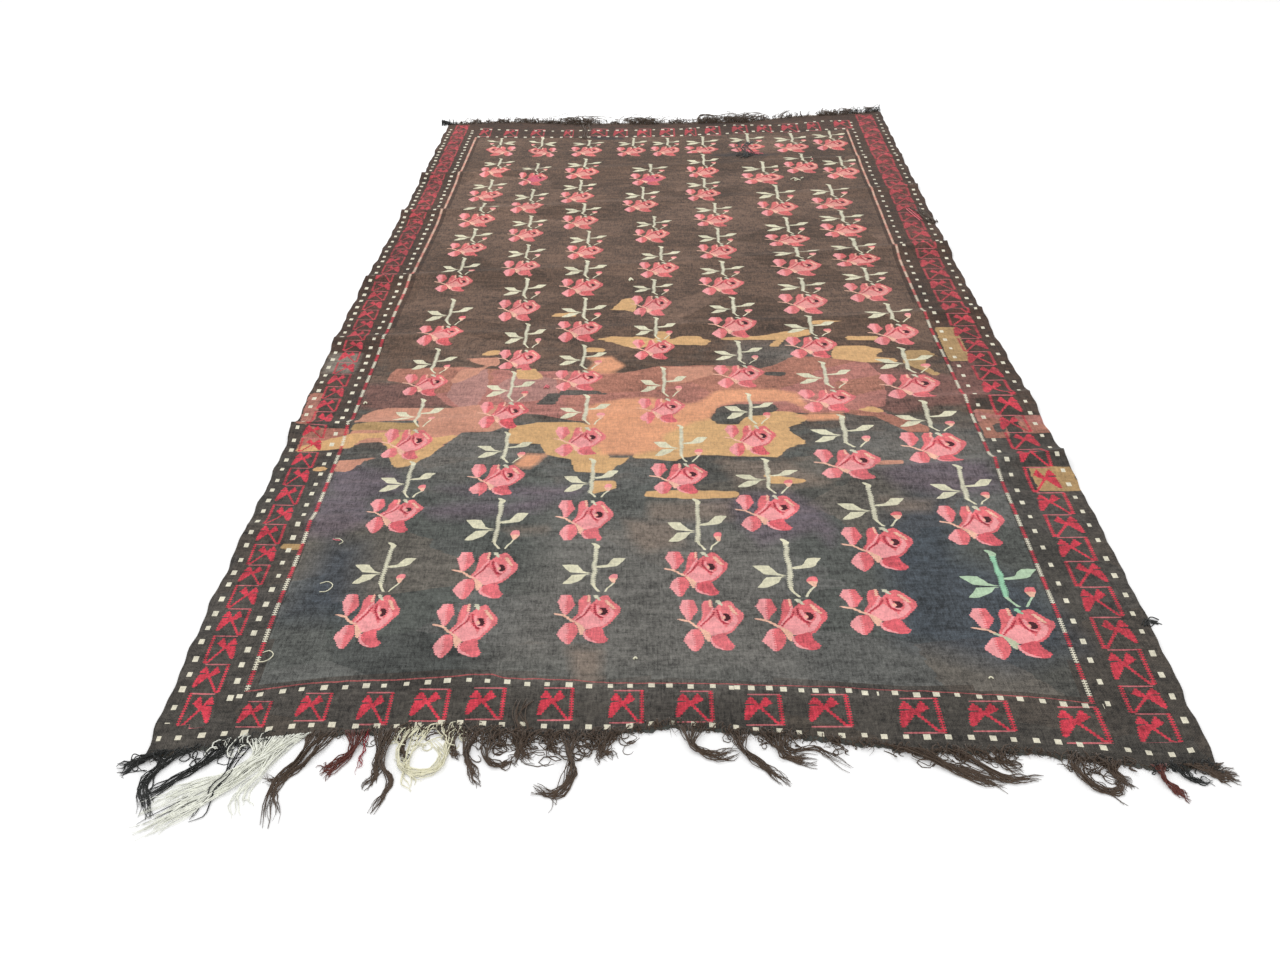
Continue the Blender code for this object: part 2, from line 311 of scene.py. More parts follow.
rose = {
    # columns of roses from left to right, each from back to front, in centimetres as seen on
    # the floor: middle of the head x and y, its width and height, top of the stem y (0 for no
    # stem), and 0 for a plain one, 1 for magenta in the middle, 2 for mint, 3 for turned round
    "columns": [
        [(-67.3, 294, 12.5, 11, 309.4, 3), (-67.3, 271.2, 12.5, 10.7, 286, 0),
         (-68, 247.8, 13.1, 10.2, 264, 0), (-68.5, 226, 13.5, 11.9, 241.6, 0),
         (-68.8, 202, 13.4, 10.8, 219.4, 0), (-69.7, 177.6, 12.6, 11.6, 196.4, 0),
         (-69.3, 144.5, 14, 12, 167.5, 0), (-69, 117.7, 12.7, 11.3, 137.5, 0),
         (-69, 90.2, 12.7, 13.7, 111.3, 0), (-67, 62.3, 13.2, 12.5, 83.3, 0),
         (-66.1, 29, 12.8, 15.7, 53.2, 0)],
        [(-49.5, 292.8, 12, 10.4, 309.8, 3), (-51, 264.3, 11.8, 13.2, 280.9, 1),
         (-51, 236.9, 12.9, 10, 254.6, 0), (-49.4, 213.6, 12.5, 10.7, 230.3, 0),
         (-48.4, 188, 12.6, 11.8, 206.4, 0), (-46.5, 159.8, 13.4, 13.9, 181.6, 0),
         (-43.5, 130.6, 12.4, 11.9, 152, 0), (-45.4, 103.2, 13.5, 12.9, 125, 0),
         (-43.9, 75.7, 13.8, 12.7, 95.9, 0), (-42.6, 42.5, 14.2, 15, 68.9, 0),
         (-44.9, 26.3, 13.2, 15.3, 0, 0)],
        [(-30.9, 293.5, 13.6, 11, 307, 0), (-31.6, 270, 14.1, 11.8, 286, 0),
         (-32.4, 246.6, 13.1, 10, 263.6, 0), (-30.1, 224.2, 13.4, 11.9, 241.2, 0),
         (-27.4, 200, 12.9, 10.7, 217.3, 0), (-27.2, 174.6, 14.1, 12.5, 194.3, 0),
         (-26.6, 146.9, 14.1, 12.6, 168.2, 0), (-25.6, 120.1, 13.9, 10.7, 139.5, 0),
         (-23.8, 91.5, 13.7, 13, 113.3, 0), (-21, 60.6, 13.3, 15, 84.5, 0),
         (-19.2, 29.5, 13.9, 14.3, 53, 0)],
        [(-11.8, 293.5, 12.5, 10.4, 309.6, 0), (-4.7, 264, 14.5, 12, 280.1, 1),
         (-7.9, 238.6, 13.4, 11, 256.9, 0), (-3.7, 213, 12.8, 11.2, 229.8, 0),
         (-1.6, 187.1, 13.6, 11.4, 205, 0), (-4.3, 162.5, 12.9, 13.6, 180.7, 0),
         (-4, 136.6, 12.6, 11.4, 155.7, 0), (-2.1, 105.3, 13.1, 12.1, 127.3, 0),
         (1.8, 76.2, 14.2, 12.5, 99, 0), (4.7, 43, 14, 14.3, 68.8, 0), (7.2, 27.8, 13.7, 14.7, 0, 0)],
        [(3, 294, 12.9, 11, 309.5, 0)],
        [(18.2, 295, 14.3, 8.9, 311.5, 0), (17.5, 271.3, 13.2, 12.1, 291, 0),
         (16.6, 248.8, 13.6, 11.4, 265.2, 0), (19.3, 225.8, 14.1, 11.3, 241.6, 0),
         (19.1, 200.6, 13.7, 11.3, 219.9, 0), (19, 175.8, 14.8, 12.3, 193.8, 0),
         (20.8, 149.3, 14.8, 12.9, 168.7, 0), (20.5, 122.2, 14.3, 11.9, 141.8, 0),
         (21.2, 92, 13.5, 13.7, 114, 0), (22.9, 63.4, 15.4, 13.4, 84.5, 0),
         (24.4, 28, 15.2, 15, 54.5, 0)],
        [(37.8, 298, 15.6, 9.3, 315.4, 0), (41.3, 264.7, 17.1, 11.1, 283, 0),
         (44.3, 236.3, 15.4, 12.9, 259, 0), (44.9, 209.3, 15.9, 10, 229, 0),
         (45.6, 188.8, 16.6, 12.5, 204.3, 0), (44.6, 163.9, 15.6, 13.3, 181.6, 0),
         (43.6, 137.8, 15.5, 12.3, 156.7, 0), (44.3, 109.9, 16, 11.5, 130.3, 0),
         (45.2, 81.8, 16.9, 12.9, 103.8, 0), (47.1, 51, 16.4, 14.9, 74.9, 0),
         (43.7, 31.6, 16.4, 13.4, 0, 0)],
        [(57.2, 297.9, 15.4, 10.4, 315.7, 0), (58.7, 276.3, 15.2, 12.1, 291.6, 0)],
        [(74.4, 301.3, 14.9, 12.9, 318.8, 0), (74.2, 270.6, 15.1, 12.1, 288.2, 0),
         (65.6, 240.6, 15.7, 11.4, 259.4, 0), (66.2, 217.3, 16.9, 11.8, 235, 0),
         (66.8, 194.2, 16.4, 10.5, 211.6, 0), (66.9, 171.4, 15.5, 12.9, 188.9, 0),
         (69.8, 145.3, 15.5, 12.8, 164.6, 0), (68.8, 117.3, 17, 12.4, 138, 0),
         (68.8, 89.1, 17, 13.1, 110.5, 0), (70.9, 58.8, 15.5, 14.6, 82.1, 0),
         (70.9, 25.5, 17.3, 14.3, 50.7, 2)],
    ],
    # the two left petals are light wool up to here and red from here on, low and high petal
    "petalSplits": (6.6, 5.0),
    "teeth": {"head": 0.0019, "stem": 0.0004, "stalk": 0.0026},
    # woven figures of the head, from the lowest layer up
    "head": [
        ("petal", [[(31, 23.4, 25.5), (29, 20, 27.1), (27, 18.6, 28.5), (24.5, 16.3, 30.6), (23, 15, 32),
            (20, 11, 31.8), (18, 9.7, 30.5), (15.5, 8.3, 28.5), (13.5, 9, 27.2), (11, 13, 24.8),
            (10, 17, 22.5)]]),
        ("petal", [[(31, 13.1, 16.8), (28, 11.7, 16.8), (25.6, 11.3, 17.3), (22, 11.1, 17),
            (19, 10.6, 16)]]),
        ("blush", [[(21, 16.6, 17.8), (18.5, 14.8, 19.7), (15, 11.3, 22.3), (12.5, 10.2, 22.8),
            (11, 11.2, 22), (9.7, 12.5, 19)]]),
        ("pale", [[(13.8, 9.7, 11.3), (11, 11, 14.5), (9.5, 11.6, 15.5), (7.5, 12.4, 15),
            (6.2, 13, 14.2)]]),
        ("blush", [[(23.5, 26, 27.2), (21, 26.8, 28.6), (18.5, 26, 28.8), (16.5, 24, 27.6),
            (14.5, 23, 26.4), (12.5, 21, 24.6), (11, 19, 22)]]),
        ("blush", [[(24.5, 20, 21.2), (21.5, 20.3, 21.8), (18.5, 21.2, 23.4), (17.4, 22.5, 25)]]),
        ("blush", [[(26.5, 16.4, 17.5), (20.5, 13.2, 14.6), (16.4, 10.3, 11.8), (14, 8.5, 10.5)]]),
        ("crimson", [[(24, 17.1, 17.9), (20, 14.7, 15.6), (17, 11.9, 12.8), (14.8, 10, 10.7)]]),
        ("crimson", [[(25.5, 18.8, 19.7), (22, 18.8, 19.8), (18.8, 20, 21), (16.6, 21.6, 24.2)]]),
        ("pale", [[(28, 24.4, 26), (25, 26, 28), (22.4, 28.2, 29.6)]]),
        ("pale", [[(31.6, 15.4, 16.4), (27, 15.4, 16.6)]]),
        ("eye", [[(23, 21.7, 24.6), (21.5, 22.6, 25.6), (20, 23, 25.8), (18.6, 22, 24.6)]]),
        ("pale", [[(21.2, 21.4, 22.8), (19.8, 21.4, 22.9)]]),
        ("stalk", [[(31.4, 18.5, 20.6), (30.2, 18.6, 21.2), (28, 20.8, 22.2)]]),
        ("deep", [[(11, 20.6, 22.6), (9.2, 16.2, 23.4), (7, 14.6, 24), (5, 14.8, 25.2), (3.5, 15.9, 26.4),
            (2, 18.3, 25.5), (1.1, 20.1, 24.6)]]),
        ("blush", [[(8.6, 14.6, 15.6), (6, 14.3, 15.4), (4.2, 15, 16.8), (2.6, 16.4, 19),
            (1.4, 19.6, 21.6)]]),
        ("leftPetals", [[(13.3, 5.9, 9.6), (12, 4.7, 10.6), (10.2, 3.4, 11.3), (8.2, 2, 11.8),
            (6.1, 1.4, 11.3), (4.1, 2.9, 10.3), (2, 4.3, 9.2), (0.3, 6.1, 7.5)], [(31.5, 2, 7.3),
            (29.5, 1.3, 8.1), (27, 0, 8.9), (25.2, 1, 9.5), (22, 2.3, 7.5), (19.5, 3.1, 6.1),
            (18.8, 3.6, 5.7)]]),
        ("pale", [[(19.5, -1.2, 1), (18.8, -0.4, 4.3), (17.6, 4.2, 6.1), (16.4, 5.6, 7.4),
            (15.2, 6.8, 9.2), (14.2, 8.4, 10.6)]]),
    ],
    # and of the stem zone above it
    "stem": [
        ("stalk", [[(28.6, 17.4, 19.6), (12, 17.1, 19.3), (5.4, 16.4, 18.5)]]),
        ("tip", [[(31.6, 15.6, 17.6), (30.8, 16.2, 19.2), (29.7, 17.3, 20.4), (28.3, 17.2, 20)]]),
        ("leaf", [[(5.6, 16.6, 18.4), (3.8, 17.5, 18.9), (2.3, 18.8, 20.1), (0.6, 20, 21.6)]]),
        ("leaf", [[(0.6, 23.4, 24.6), (2.7, 24.7, 25.8), (4.2, 26.1, 27.2), (5.8, 27.7, 28.9)]]),
        ("leaf", [[(20.9, 28, 34.1), (19.7, 26.7, 33.3), (18.1, 25.4, 31.8), (16.9, 24.2, 31),
            (15.9, 19.2, 29.3), (15.1, 19.2, 23.5)]]),
        ("leaf", [[(16.8, 1.3, 9), (15.8, 2, 9.6), (14.4, 3.4, 11), (13, 4.9, 12.2), (12.2, 5.9, 14.2),
            (11.6, 12, 17)], [(10.9, 12, 17), (10.6, 6.7, 14), (9.4, 5.8, 13), (7.8, 4.4, 11.7),
            (6.6, 3.1, 9.5), (5.3, 2.1, 6.5)]]),
        ("bud", [[(10.9, 27.2, 30), (10.2, 26.2, 30.3), (9, 25.5, 30.4), (8, 25.8, 30.1)]]),
        ("pale", [[(8.4, 25.7, 30.2), (7.2, 26.5, 29.5), (5.8, 27.5, 29)]]),
    ],
}

borders = {
    # boxes of the two ends in centimetres as seen on the floor: x from, x to, y from, y to
    "endBoxes": [
        (-85.3, -79.7, 1.9, 8.1), (-74.6, -68.4, 3.3, 10.1), (-62.6, -56.4, 2.4, 10.3),
        (-52.5, -45.3, 3.2, 11.1),
        (-41.8, -34.4, 3.6, 11.4), (-27.9, -21, 3.4, 11.4), (-14.1, -7.3, 2.8, 10.8),
        (-1.1, 6.3, 3, 10.6),
        (12.1, 19.7, 2.3, 9.8), (24.5, 32.8, 1.9, 9.8), (41.8, 50.2, 0.5, 8.9), (55.1, 63.7, 0.9, 8.2),
        (71.9, 80.9, -1.8, 6.8),
        (-78.7, -73.7, 310.9, 320.9), (-68, -61.9, 310.9, 319.8), (-56.2, -50.1, 310.5, 319.8),
        (-41.6, -37.3, 310.5, 319.4), (-30.5, -22.3, 311.8, 320.5), (-19.8, -13.4, 310.5, 320.5),
        (-9.4, -3, 310.5, 320.5), (0.6, 7.4, 310.9, 321.3), (11.6, 16.9, 311.3, 321.6),
        (20.6, 27.7, 312.7, 323.8),
        (32.7, 39.9, 315.2, 325.2), (43.8, 50.6, 315.6, 325.2), (54.9, 62.7, 316.3, 327),
        (66.6, 72.7, 318, 328.8),
        (79, 87, 321.3, 331.6),
    ],
    # side bands: from the selvedge to the band and its width, where one box of it ends and the
    # next begins up to the reweave or so, how long the others are, and where the band stops
    "left": {
        "middleX": -93, "start": 0.036, "width": 0.058, "others": 6.1, "stop": 321,
        "ends": [1.4, 10, 17.3, 24.8, 32.5, 39.4, 45.8, 52.4, 59.3, 66.3, 73.6, 80.5, 87, 93, 98.6, 105,
            111, 117, 123.5],
    },
    "right": {
        "middleX": 92, "start": 0.043, "width": 0.079, "others": 7.5, "stop": 334,
        "ends": [-2.6, 5.2, 11.8, 21.2, 30.1, 39, 47, 54.9, 62.8, 70.9, 80.9, 88.2, 95.5, 103.3, 113],
    },
    # rows of dots and the pink line along the ends: x, y
    "frontDots": [(-99, -0.4), (-91, 0), (-84, 0.6), (-77, 1.8), (-70, 2.5), (-60, 2), (-46, 3),
        (-35, 2.7), (-20, 2.2), (-11, 1.9), (-2.2, 3.2), (6, 2.4), (13, 1.4), (20.4, 1), (28.5, 0.2),
        (40, -0.1), (50, 0), (60, -0.5), (71, -1.3), (80, -2.7), (91, -4.1), (96, -3.1)],
    "frontInnerDots": [(-84, 9.3), (-78, 10.4), (-70, 11.4), (-59, 12), (-44.4, 13.1), (-40, 13.1),
        (-32, 12.4), (-16, 11.8), (4, 11.8), (18, 11.1), (30, 10.6), (40, 10), (53, 9.5), (65, 8.6),
        (76, 7.3), (81, 6.9)],
    "frontLine": [(-85.5, 10.4), (-74, 12.4), (-66, 13), (-57, 13.2), (-47, 14), (-42, 14.6),
        (-37.6, 14.6), (-35, 13.7), (-21, 13.2), (-15, 12.5), (8, 12.3), (17, 11.9), (32, 11.5),
        (39, 10.8), (48, 10.5), (58, 9.8), (66, 9.3), (73, 8.6), (81, 7.4)],
    "backDots": [(-92, 320.8), (-73, 319.8), (-49, 317.8), (-11, 319), (9, 320.2), (27, 323.4),
        (31, 325.2), (54, 325), (63, 327), (73, 330.3), (87, 331.4)],
    "backInnerDots": [(-80, 311), (-57, 310.2), (-30, 310.5), (8, 312.2), (30, 315), (42, 317.8),
        (60, 317.4), (72, 319.5), (88, 321)],
    # dots of the sides: y, dots up to there
    "leftDots": [(-5, -1.2), (60, 14.6), (150, 37.6), (220, 55.7), (340, 92)],
    "rightDots": [(-5, 0), (60, 11.8), (150, 29.8), (220, 45), (340, 73)],
    "teeth": {"border": 0.024, "borderSide": 0.036},
    "figure": [
        ("borderPale", [[(31.9, 4, 31), (30.7, 4, 31)]]),
        ("borderSide", [[(31.6, 28.9, 31.4), (4, 28.9, 31.4), (0.5, 25.4, 31.4)]]),
        ("border", [[(18, 11.5, 15), (10, 18.6, 21.4), (1.2, 25.6, 28.6)]]),
        ("border", [[(28.7, 5.4, 7), (26, 3.8, 9.4), (22.4, 1.4, 11.8), (21.6, 1.6, 11.8),
            (19, 9.6, 15.5), (16.6, 10.4, 16.4)]]),
        ("border", [[(28.7, 18, 19.6), (26, 16.2, 21.2), (22.4, 14, 24), (21.4, 13, 22),
            (18.6, 11, 18)]]),
        ("border", [[(20.2, 2, 12), (18.8, 1.8, 13), (14.5, 0.6, 10.4), (10, 0, 6.6), (5.6, 0, 3)]]),
        ("borderSlit", [[(21.5, 0.6, 8.6), (20.6, 0.6, 9.2)]]),
    ],
    "foot": ("borderPale", [[(1.3, 0.6, 30), (0.1, 0.6, 30)]]),
}

# Ground colours, the lowest first: each patch is an outline in centimetres as seen on the floor
patches = [
    # pale patches that paint the sheen of the light on the ground, brightest in the middle of the front
    ("paintedSheen", [
        [(-40, 16), (-28, 60), (0, 62), (24, 58), (24, 14), (-10, 12)],
        [(-78, 84), (-72, 98), (-40, 100), (-36, 86), (-60, 78)],
        [(56, 96), (84, 98), (84, 78), (40, 80), (44, 94)],
        [(22, 140), (45, 140), (45, 128), (18, 128)],
    ]),
    ("navy", [
        [(46, 24), (48, 58), (60, 72), (68, 70), (64, 48), (78, 40), (84, 22), (66, 16)],
        [(-84, 30), (-80, 54), (-72, 52), (-70, 30)],
    ]),
    ("plum", [
        [(-86, 70), (-74, 69), (-72, 60), (-80, 55), (-86, 55)],
        [(-61, 65), (-52, 67), (-45, 68), (-41, 66), (-32, 70), (-26, 69), (-33, 64), (-40, 63),
         (-50, 61), (-58, 62)],
        [(-58, 73), (-40, 73), (-22, 73), (-24, 69), (-50, 70)],
        [(8, 66), (15, 60), (20, 52), (33, 57), (36, 52), (38, 57), (35, 66), (28, 71), (18, 71)],
        [(52, 80), (62, 83), (80, 83), (82, 72), (66, 70), (55, 74)],
        [(-84, 82), (-70, 79), (-66, 72), (-80, 66), (-86, 74)],
    ]),
    ("cocoa", [
        [(-12, 61), (0, 60), (2, 52), (-7, 50), (-10, 54)],
        [(-6, 67), (14, 68), (14, 61), (-6, 60)],
        [(-40, 58), (-30, 58.4), (-30, 56.6), (-38, 56)],
        [(-23, 22), (-16, 21), (-16, 13), (-21, 13)],
        [(12, 84), (30, 82), (40, 74), (16, 73)],
        [(50, 69), (64, 68), (62, 64), (52, 64)],
    ]),
    ("maroon", [
        [(-85, 118), (-70, 119), (-60, 117), (-58, 108), (-78, 105), (-85, 107)],
        [(57, 131), (66, 126), (84, 122), (84, 108), (74, 108), (62, 104), (54, 108)],
        [(83, 130), (90, 130), (90, 112), (83, 112)],
    ]),
    ("rust", [
        [(-80, 123), (-79, 126), (-60, 127), (-50, 126), (-44, 125), (-31, 125), (-22, 124), (-13, 124),
         (-3, 127.3), (13, 128), (27, 126.5), (33, 129), (37, 133), (52, 132), (58, 130), (62, 122),
         (60, 108), (52, 104), (30, 104), (0, 104), (-24, 100), (-52, 107), (-60, 107), (-70, 118),
         (-80, 120)],
        [(47, 104), (55, 107.7), (61, 103), (69, 98.3), (69.3, 95.7), (63, 95.7), (55.7, 103)],
        [(-100.5, 113.7), (-96.7, 113.7), (-96.7, 99.3), (-100.5, 99.3)],
        [(83, 105.7), (90, 105.7), (90, 93), (83, 93)],
        [(93.7, 103), (101.7, 103), (101.7, 95), (93.7, 95)],
        [(-97.3, 98.3), (-85.3, 97), (-85.3, 92), (-97.3, 87)],
    ]),
    ("dusty", [
        [(-60, 126), (-52, 126), (-51, 116), (-53, 107), (-57, 106), (-62, 112)],
        [(-43, 124), (-32, 121), (-31, 112), (-44, 108), (-50, 116)],
    ]),
    ("coral", [
        [(-83, 103.7), (-78, 106.7), (-60, 106.7), (-53, 108.3), (-40, 108), (-43, 99), (-47, 96),
         (-56, 95), (-59, 90), (-63, 85), (-70, 86), (-85, 91), (-85, 97), (-67, 97), (-68, 101),
         (-85, 100)],
        [(-62, 119), (-60, 125.6), (-52.3, 127), (-55, 123), (-60, 119)],
        [(-59, 131.3), (-49.7, 132.4), (-49, 127.2), (-55, 128.7)],
        [(-85.3, 83.7), (-74.3, 85), (-79, 82.7), (-81.7, 78.7), (-85.3, 79)],
        [(0, 127), (13, 127.4), (13, 123), (4, 119), (0, 119)],
        [(53, 83.4), (59.4, 83.6), (59, 82), (52, 81.5)],
    ]),
    ("mustard", [
        [(-85.3, 99.3), (-79.7, 100.1), (-67.7, 100), (-67, 96.7), (-85.3, 96)],
        [(82.7, 149.3), (89.3, 149.3), (89.3, 130.3), (82.7, 130.3)],
        [(69, 129.7), (71, 136.3), (77, 136.3), (80.3, 133), (76.3, 132.3), (75, 127.7), (79, 123),
         (76.3, 123), (71.7, 127)],
        [(90.3, 80.7), (101.3, 80.7), (101.3, 71.7), (90.3, 71.7)],
        [(-91, 52.6), (-86, 52.4), (-86, 50.4), (-91, 50.4)],
    ]),
    ("ochre", [
        [(-97, 87), (-83, 88.7), (-82.3, 91.3), (-80.3, 92.7), (-76, 93.3), (-73, 84.7), (-70.3, 80.7),
         (-67, 81), (-62.3, 85), (-59, 90.7), (-55.7, 94.7), (-62, 93), (-68, 96), (-84, 95), (-97, 89)],
        [(-43, 97.7), (-35.7, 100), (-23.7, 100), (-18, 96), (-16, 84), (-26.3, 84), (-32.3, 86),
         (-34.3, 90.7), (-43, 91)],
        [(-26.3, 85), (-24.3, 78.7), (-16.3, 78.3), (-13.7, 81.3), (-10.3, 84.7)],
        [(2, 108), (11.3, 101.3), (14, 100), (18.3, 99), (19, 104), (26, 105), (34.3, 104.7),
         (37.7, 102.3), (36.3, 100.3), (31.3, 97.7), (32.3, 95.7), (35.7, 91), (30.3, 89), (27.7, 85),
         (17, 85.3), (7, 86), (1, 83.3), (-10, 84.4), (-6, 96)],
        [(-55.3, 133.3), (-52.3, 136.3), (-49.7, 136.3), (-49.7, 133.7)],
        [(-44, 126), (-38.3, 126), (-35, 120.7), (-43.3, 120.7)],
        [(-24.3, 138), (-18.3, 137), (-18.3, 135.3), (-24.3, 135.3)],
        [(-15.7, 140), (-9, 144), (0, 142), (5.7, 144.3), (9.7, 144.3), (11.7, 142), (14, 142),
         (11.3, 138.7), (7, 139), (0, 139.6), (-9.7, 137)],
        [(15.7, 143), (28.3, 144.3), (35.7, 147), (43.7, 148), (44.3, 145), (36.3, 143), (33, 138),
         (30.3, 138.3), (33, 142), (28.3, 142.3), (17, 142)],
        [(45, 153.6), (52.3, 154.3), (56.7, 154), (51.7, 152.7), (49.7, 151), (45, 151)],
        [(54.3, 144.3), (64.3, 144.3), (64.3, 142), (54.3, 142)],
        [(50, 138.3), (59, 139), (64.7, 136.3), (61, 133), (67, 131.7), (67.7, 129.7), (57.7, 129.7),
         (48, 132)],
        [(52, 106), (55, 107.6), (57, 107), (60, 103.6), (55, 105)],
        [(-20.1, 160), (-16.2, 161.4), (-14.1, 166.4), (-12.3, 167.9), (-9, 167.9), (-9.4, 158.2),
         (-13, 160)],
        [(-36.9, 156), (-34.4, 157.9), (-28.7, 158.6), (-28, 156.4)],
        [(-21.2, 142.5), (-16.2, 144), (-9.4, 143.4), (-8, 140), (-15.1, 140)],
        [(-3, 147), (1, 147), (1, 141), (-3, 141)],
        [(-20, 75.6), (-14.3, 75.2), (-13.4, 73), (-19.7, 70.3)],
        [(-7, 71), (0, 71.6), (16.3, 71.3), (16, 69), (6, 68.4), (-7, 69.4)],
        [(23, 78), (33, 76), (34, 74.6), (24, 74)],
        [(-90.7, 81), (-87.3, 81), (-87.3, 79), (-90.7, 79)],
    ]),
    ("orange", [
        [(-23, 107), (-16.3, 110), (-12.3, 111.2), (-4.3, 111.6), (4, 108.4), (8, 109.3), (13, 114.3),
         (16.3, 115.7), (30, 115.7), (36, 113.6), (39, 104.6), (32, 110), (19, 109.4), (14, 107.6),
         (10.6, 101.3), (6, 100), (-2, 94), (-2, 88), (-10, 86), (-18, 86), (-22, 97)],
        [(34.3, 103), (39.7, 104), (47, 104.4), (47, 101.6), (37.7, 100.7)],
        [(-23.7, 132.3), (-16.3, 132.7), (-12.7, 127.7), (-15.7, 124), (-21, 124), (-23.7, 125.7),
         (-21, 129.3)],
        [(-38.3, 86), (-32, 86), (-35.7, 80.3), (-40, 80.7)],
    ]),
    ("night", [
        [(10.8, 101.3), (14, 107.4), (19, 108.6), (28.7, 108.6), (30, 106), (25.7, 103.3), (21, 103),
         (18.3, 99), (13, 99.3)],
        [(-37, 108), (-31.3, 108), (-30, 113.6), (-33.7, 113.3)],
        [(-30, 115.7), (-20, 115), (-17, 113.3), (-30, 112.8)],
        [(27.7, 124.7), (34, 124.4), (33, 122.3), (28, 122.6)],
        [(-82.4, 90.6), (-76, 91), (-72, 87.6), (-76, 86.4), (-82.6, 87)],
        [(86.4, 99.4), (89.6, 99.4), (89.6, 95.6), (86.4, 95.6)],
    ]),
    ("ash", [
        [(-99.6, 134), (-90.6, 134), (-90.6, 124), (-99.6, 124)],
    ]),
    ("smear", [
        [(20, 290), (33, 292.4), (52, 291), (44, 288.4), (26, 288)],
        [(-30, 311), (-16, 310.6), (-15, 307), (-28, 307.4)],
    ]),
]

# how far each of them blends into the ground at its outline, and how strong it is
blends = {
    "paintedSheen": (0.06, 0.72), "navy": (0.04, 0.72), "plum": (0.02, 0.72), "cocoa": (0.015, 0.72),
    "maroon": (0.010, 0.72), "ash": (0.010, 0.72), "smear": (0.010, 0.72), "orange": (0.008, 0.96),
}
crispBlend = (0.0012, 0.96)

weave = {
    "warp": 0.0031,          # one rib of the weave
    "weft": 0.0013,
    "tooth": 0.0061,         # pitch of the teeth where two colours meet along a warp
    "pick": 0.0062,          # height of the steps in which the ground changes colour
    "pieceLean": (0.22, 0.9),    # height of a leaning piece of ground, and how far it leans
    "pieceCount": (3.8, 7.0),    # such pieces in a metre, across and along
    "finish": {"roughness": 0.95, "gloss": 0.18, "sheen": 0.10, "sheenRoughness": 0.6,
               "strength": 0.55, "depth": 0.0007},
}
# rows of cream dots: shift along the row in pitches, sway across it and half size, low and high
dotLimits = ((-0.08, 0.08), (-0.0022, 0.0022), (0.0045, 0.0060))
dotShape = 0.87          # how long a dot is for its width
# from the selvedge to the outer dots, the inner dots and the toothed line, and the line's period
sideRows = {"left": (0.0195, 0.119, 0.146, 0.0735), "right": (0.0235, 0.156, 0.185, 0.082)}
dotPitch = {"left": 0.039, "right": 0.050, "ends": 0.0403, "close": 0.0315}


def depthInside(points, outline):
    # how far inside an outline each point lies, negative outside it
    nearest = np.full(len(points), 9.0)
    inside = np.zeros(len(points), dtype=bool)
    corners = [onCloth(*corner) for corner in outline]
    for start, stop in zip(corners, corners[1:] + corners[:1]):
        side = stop - start
        share = np.clip(((points - start) @ side) / (side @ side), 0.0, 1.0)
        nearest = np.minimum(nearest, np.linalg.norm(points - start - share[:, None] * side, axis=1))
        crosses = (points[:, 1] < start[1]) != (points[:, 1] < stop[1])
        rise = side[1] if abs(side[1]) > 1e-9 else 1e-9
        inside ^= crosses & (points[:, 0] < start[0] + side[0] * (points[:, 1] - start[1]) / rise)
    return np.where(inside, nearest, -nearest)


def nearSelvedge(across):
    # from 1 at a selvedge to 0 a little way in
    return np.clip(1.0 - np.minimum(across, 1.0 - across) / cloth["edgeShare"], 0.0, 1.0)


def riseAt(x, y):
    # how far the folds lift the cloth off the floor
    left, right = sidesAt(y)
    across = np.clip((x - left) / (right - left), 0.0, 1.0)
    height = x * 0.0
    for first, second, *rises in cloth["creases"]:
        offset = y - (first + (second - first) * across)
        reach = np.where(offset > 0.0, cloth["farReach"], cloth["nearReach"])
        rise = np.interp(across, np.linspace(0.0, 1.0, len(rises)), rises)
        height += rise * np.clip(1.0 - np.abs(offset) / reach, 0.0, 1.0) ** cloth["sharpness"]
    ripple = 2.0 + np.sin(x * 11.0 + 3.0 * np.sin(y * 3.1)) + np.sin(y * 17.0 + 2.0 * np.sin(x * 5.0))
    height += cloth["ripple"] * ripple / 2
    wave = 0.5 + 0.5 * np.sin(y * 53.0 + 2.5 * np.sin(y * 7.0))
    height += cloth["edgeRipple"] * nearSelvedge(across) * wave
    front, back = endsAt(x)
    return height * np.clip(np.minimum(y - front, back - y) / cloth["flatEnd"], 0.0, 1.0)


def onCloth(xCm, yCm):
    # where the line from the eye to a place on the floor meets the cloth
    seen = np.array([xCm, yCm]) / 100
    place = seen.copy()
    eye = np.array([view["x"], view["y"]])
    for turn in range(16):
        lift = float(riseAt(place[0], place[1])) + cloth["thickness"]
        place += 0.6 * (seen + (eye - seen) * lift / view["height"] - place)
    return place


def newGrid(name, columns, rows):
    bpy.ops.object.select_all(action="DESELECT")
    bpy.ops.mesh.primitive_grid_add(x_subdivisions=columns, y_subdivisions=rows, size=1.0)
    grid = bpy.context.object
    grid.name = name
    points = readPoints(grid)
    return grid, points[:, 0] + 0.5, points[:, 1] + 0.5


def thicken(sheet, x, y, height, thickness, smoothAngle):
    writePoints(sheet, np.stack([x, y, height], axis=1))
    bpy.ops.object.modifier_add(type="SOLIDIFY")
    sheet.modifiers[-1].thickness = thickness
    sheet.modifiers[-1].offset = 1.0
    bpy.ops.object.modifier_apply(modifier=sheet.modifiers[-1].name)
    ontoFloor(sheet)
    bpy.ops.object.shade_smooth_by_angle(angle=math.radians(smoothAngle))


def ontoFloor(obj):
    points = readPoints(obj)
    points[:, 2] = np.maximum(points[:, 2], 0.0)
    writePoints(obj, points)


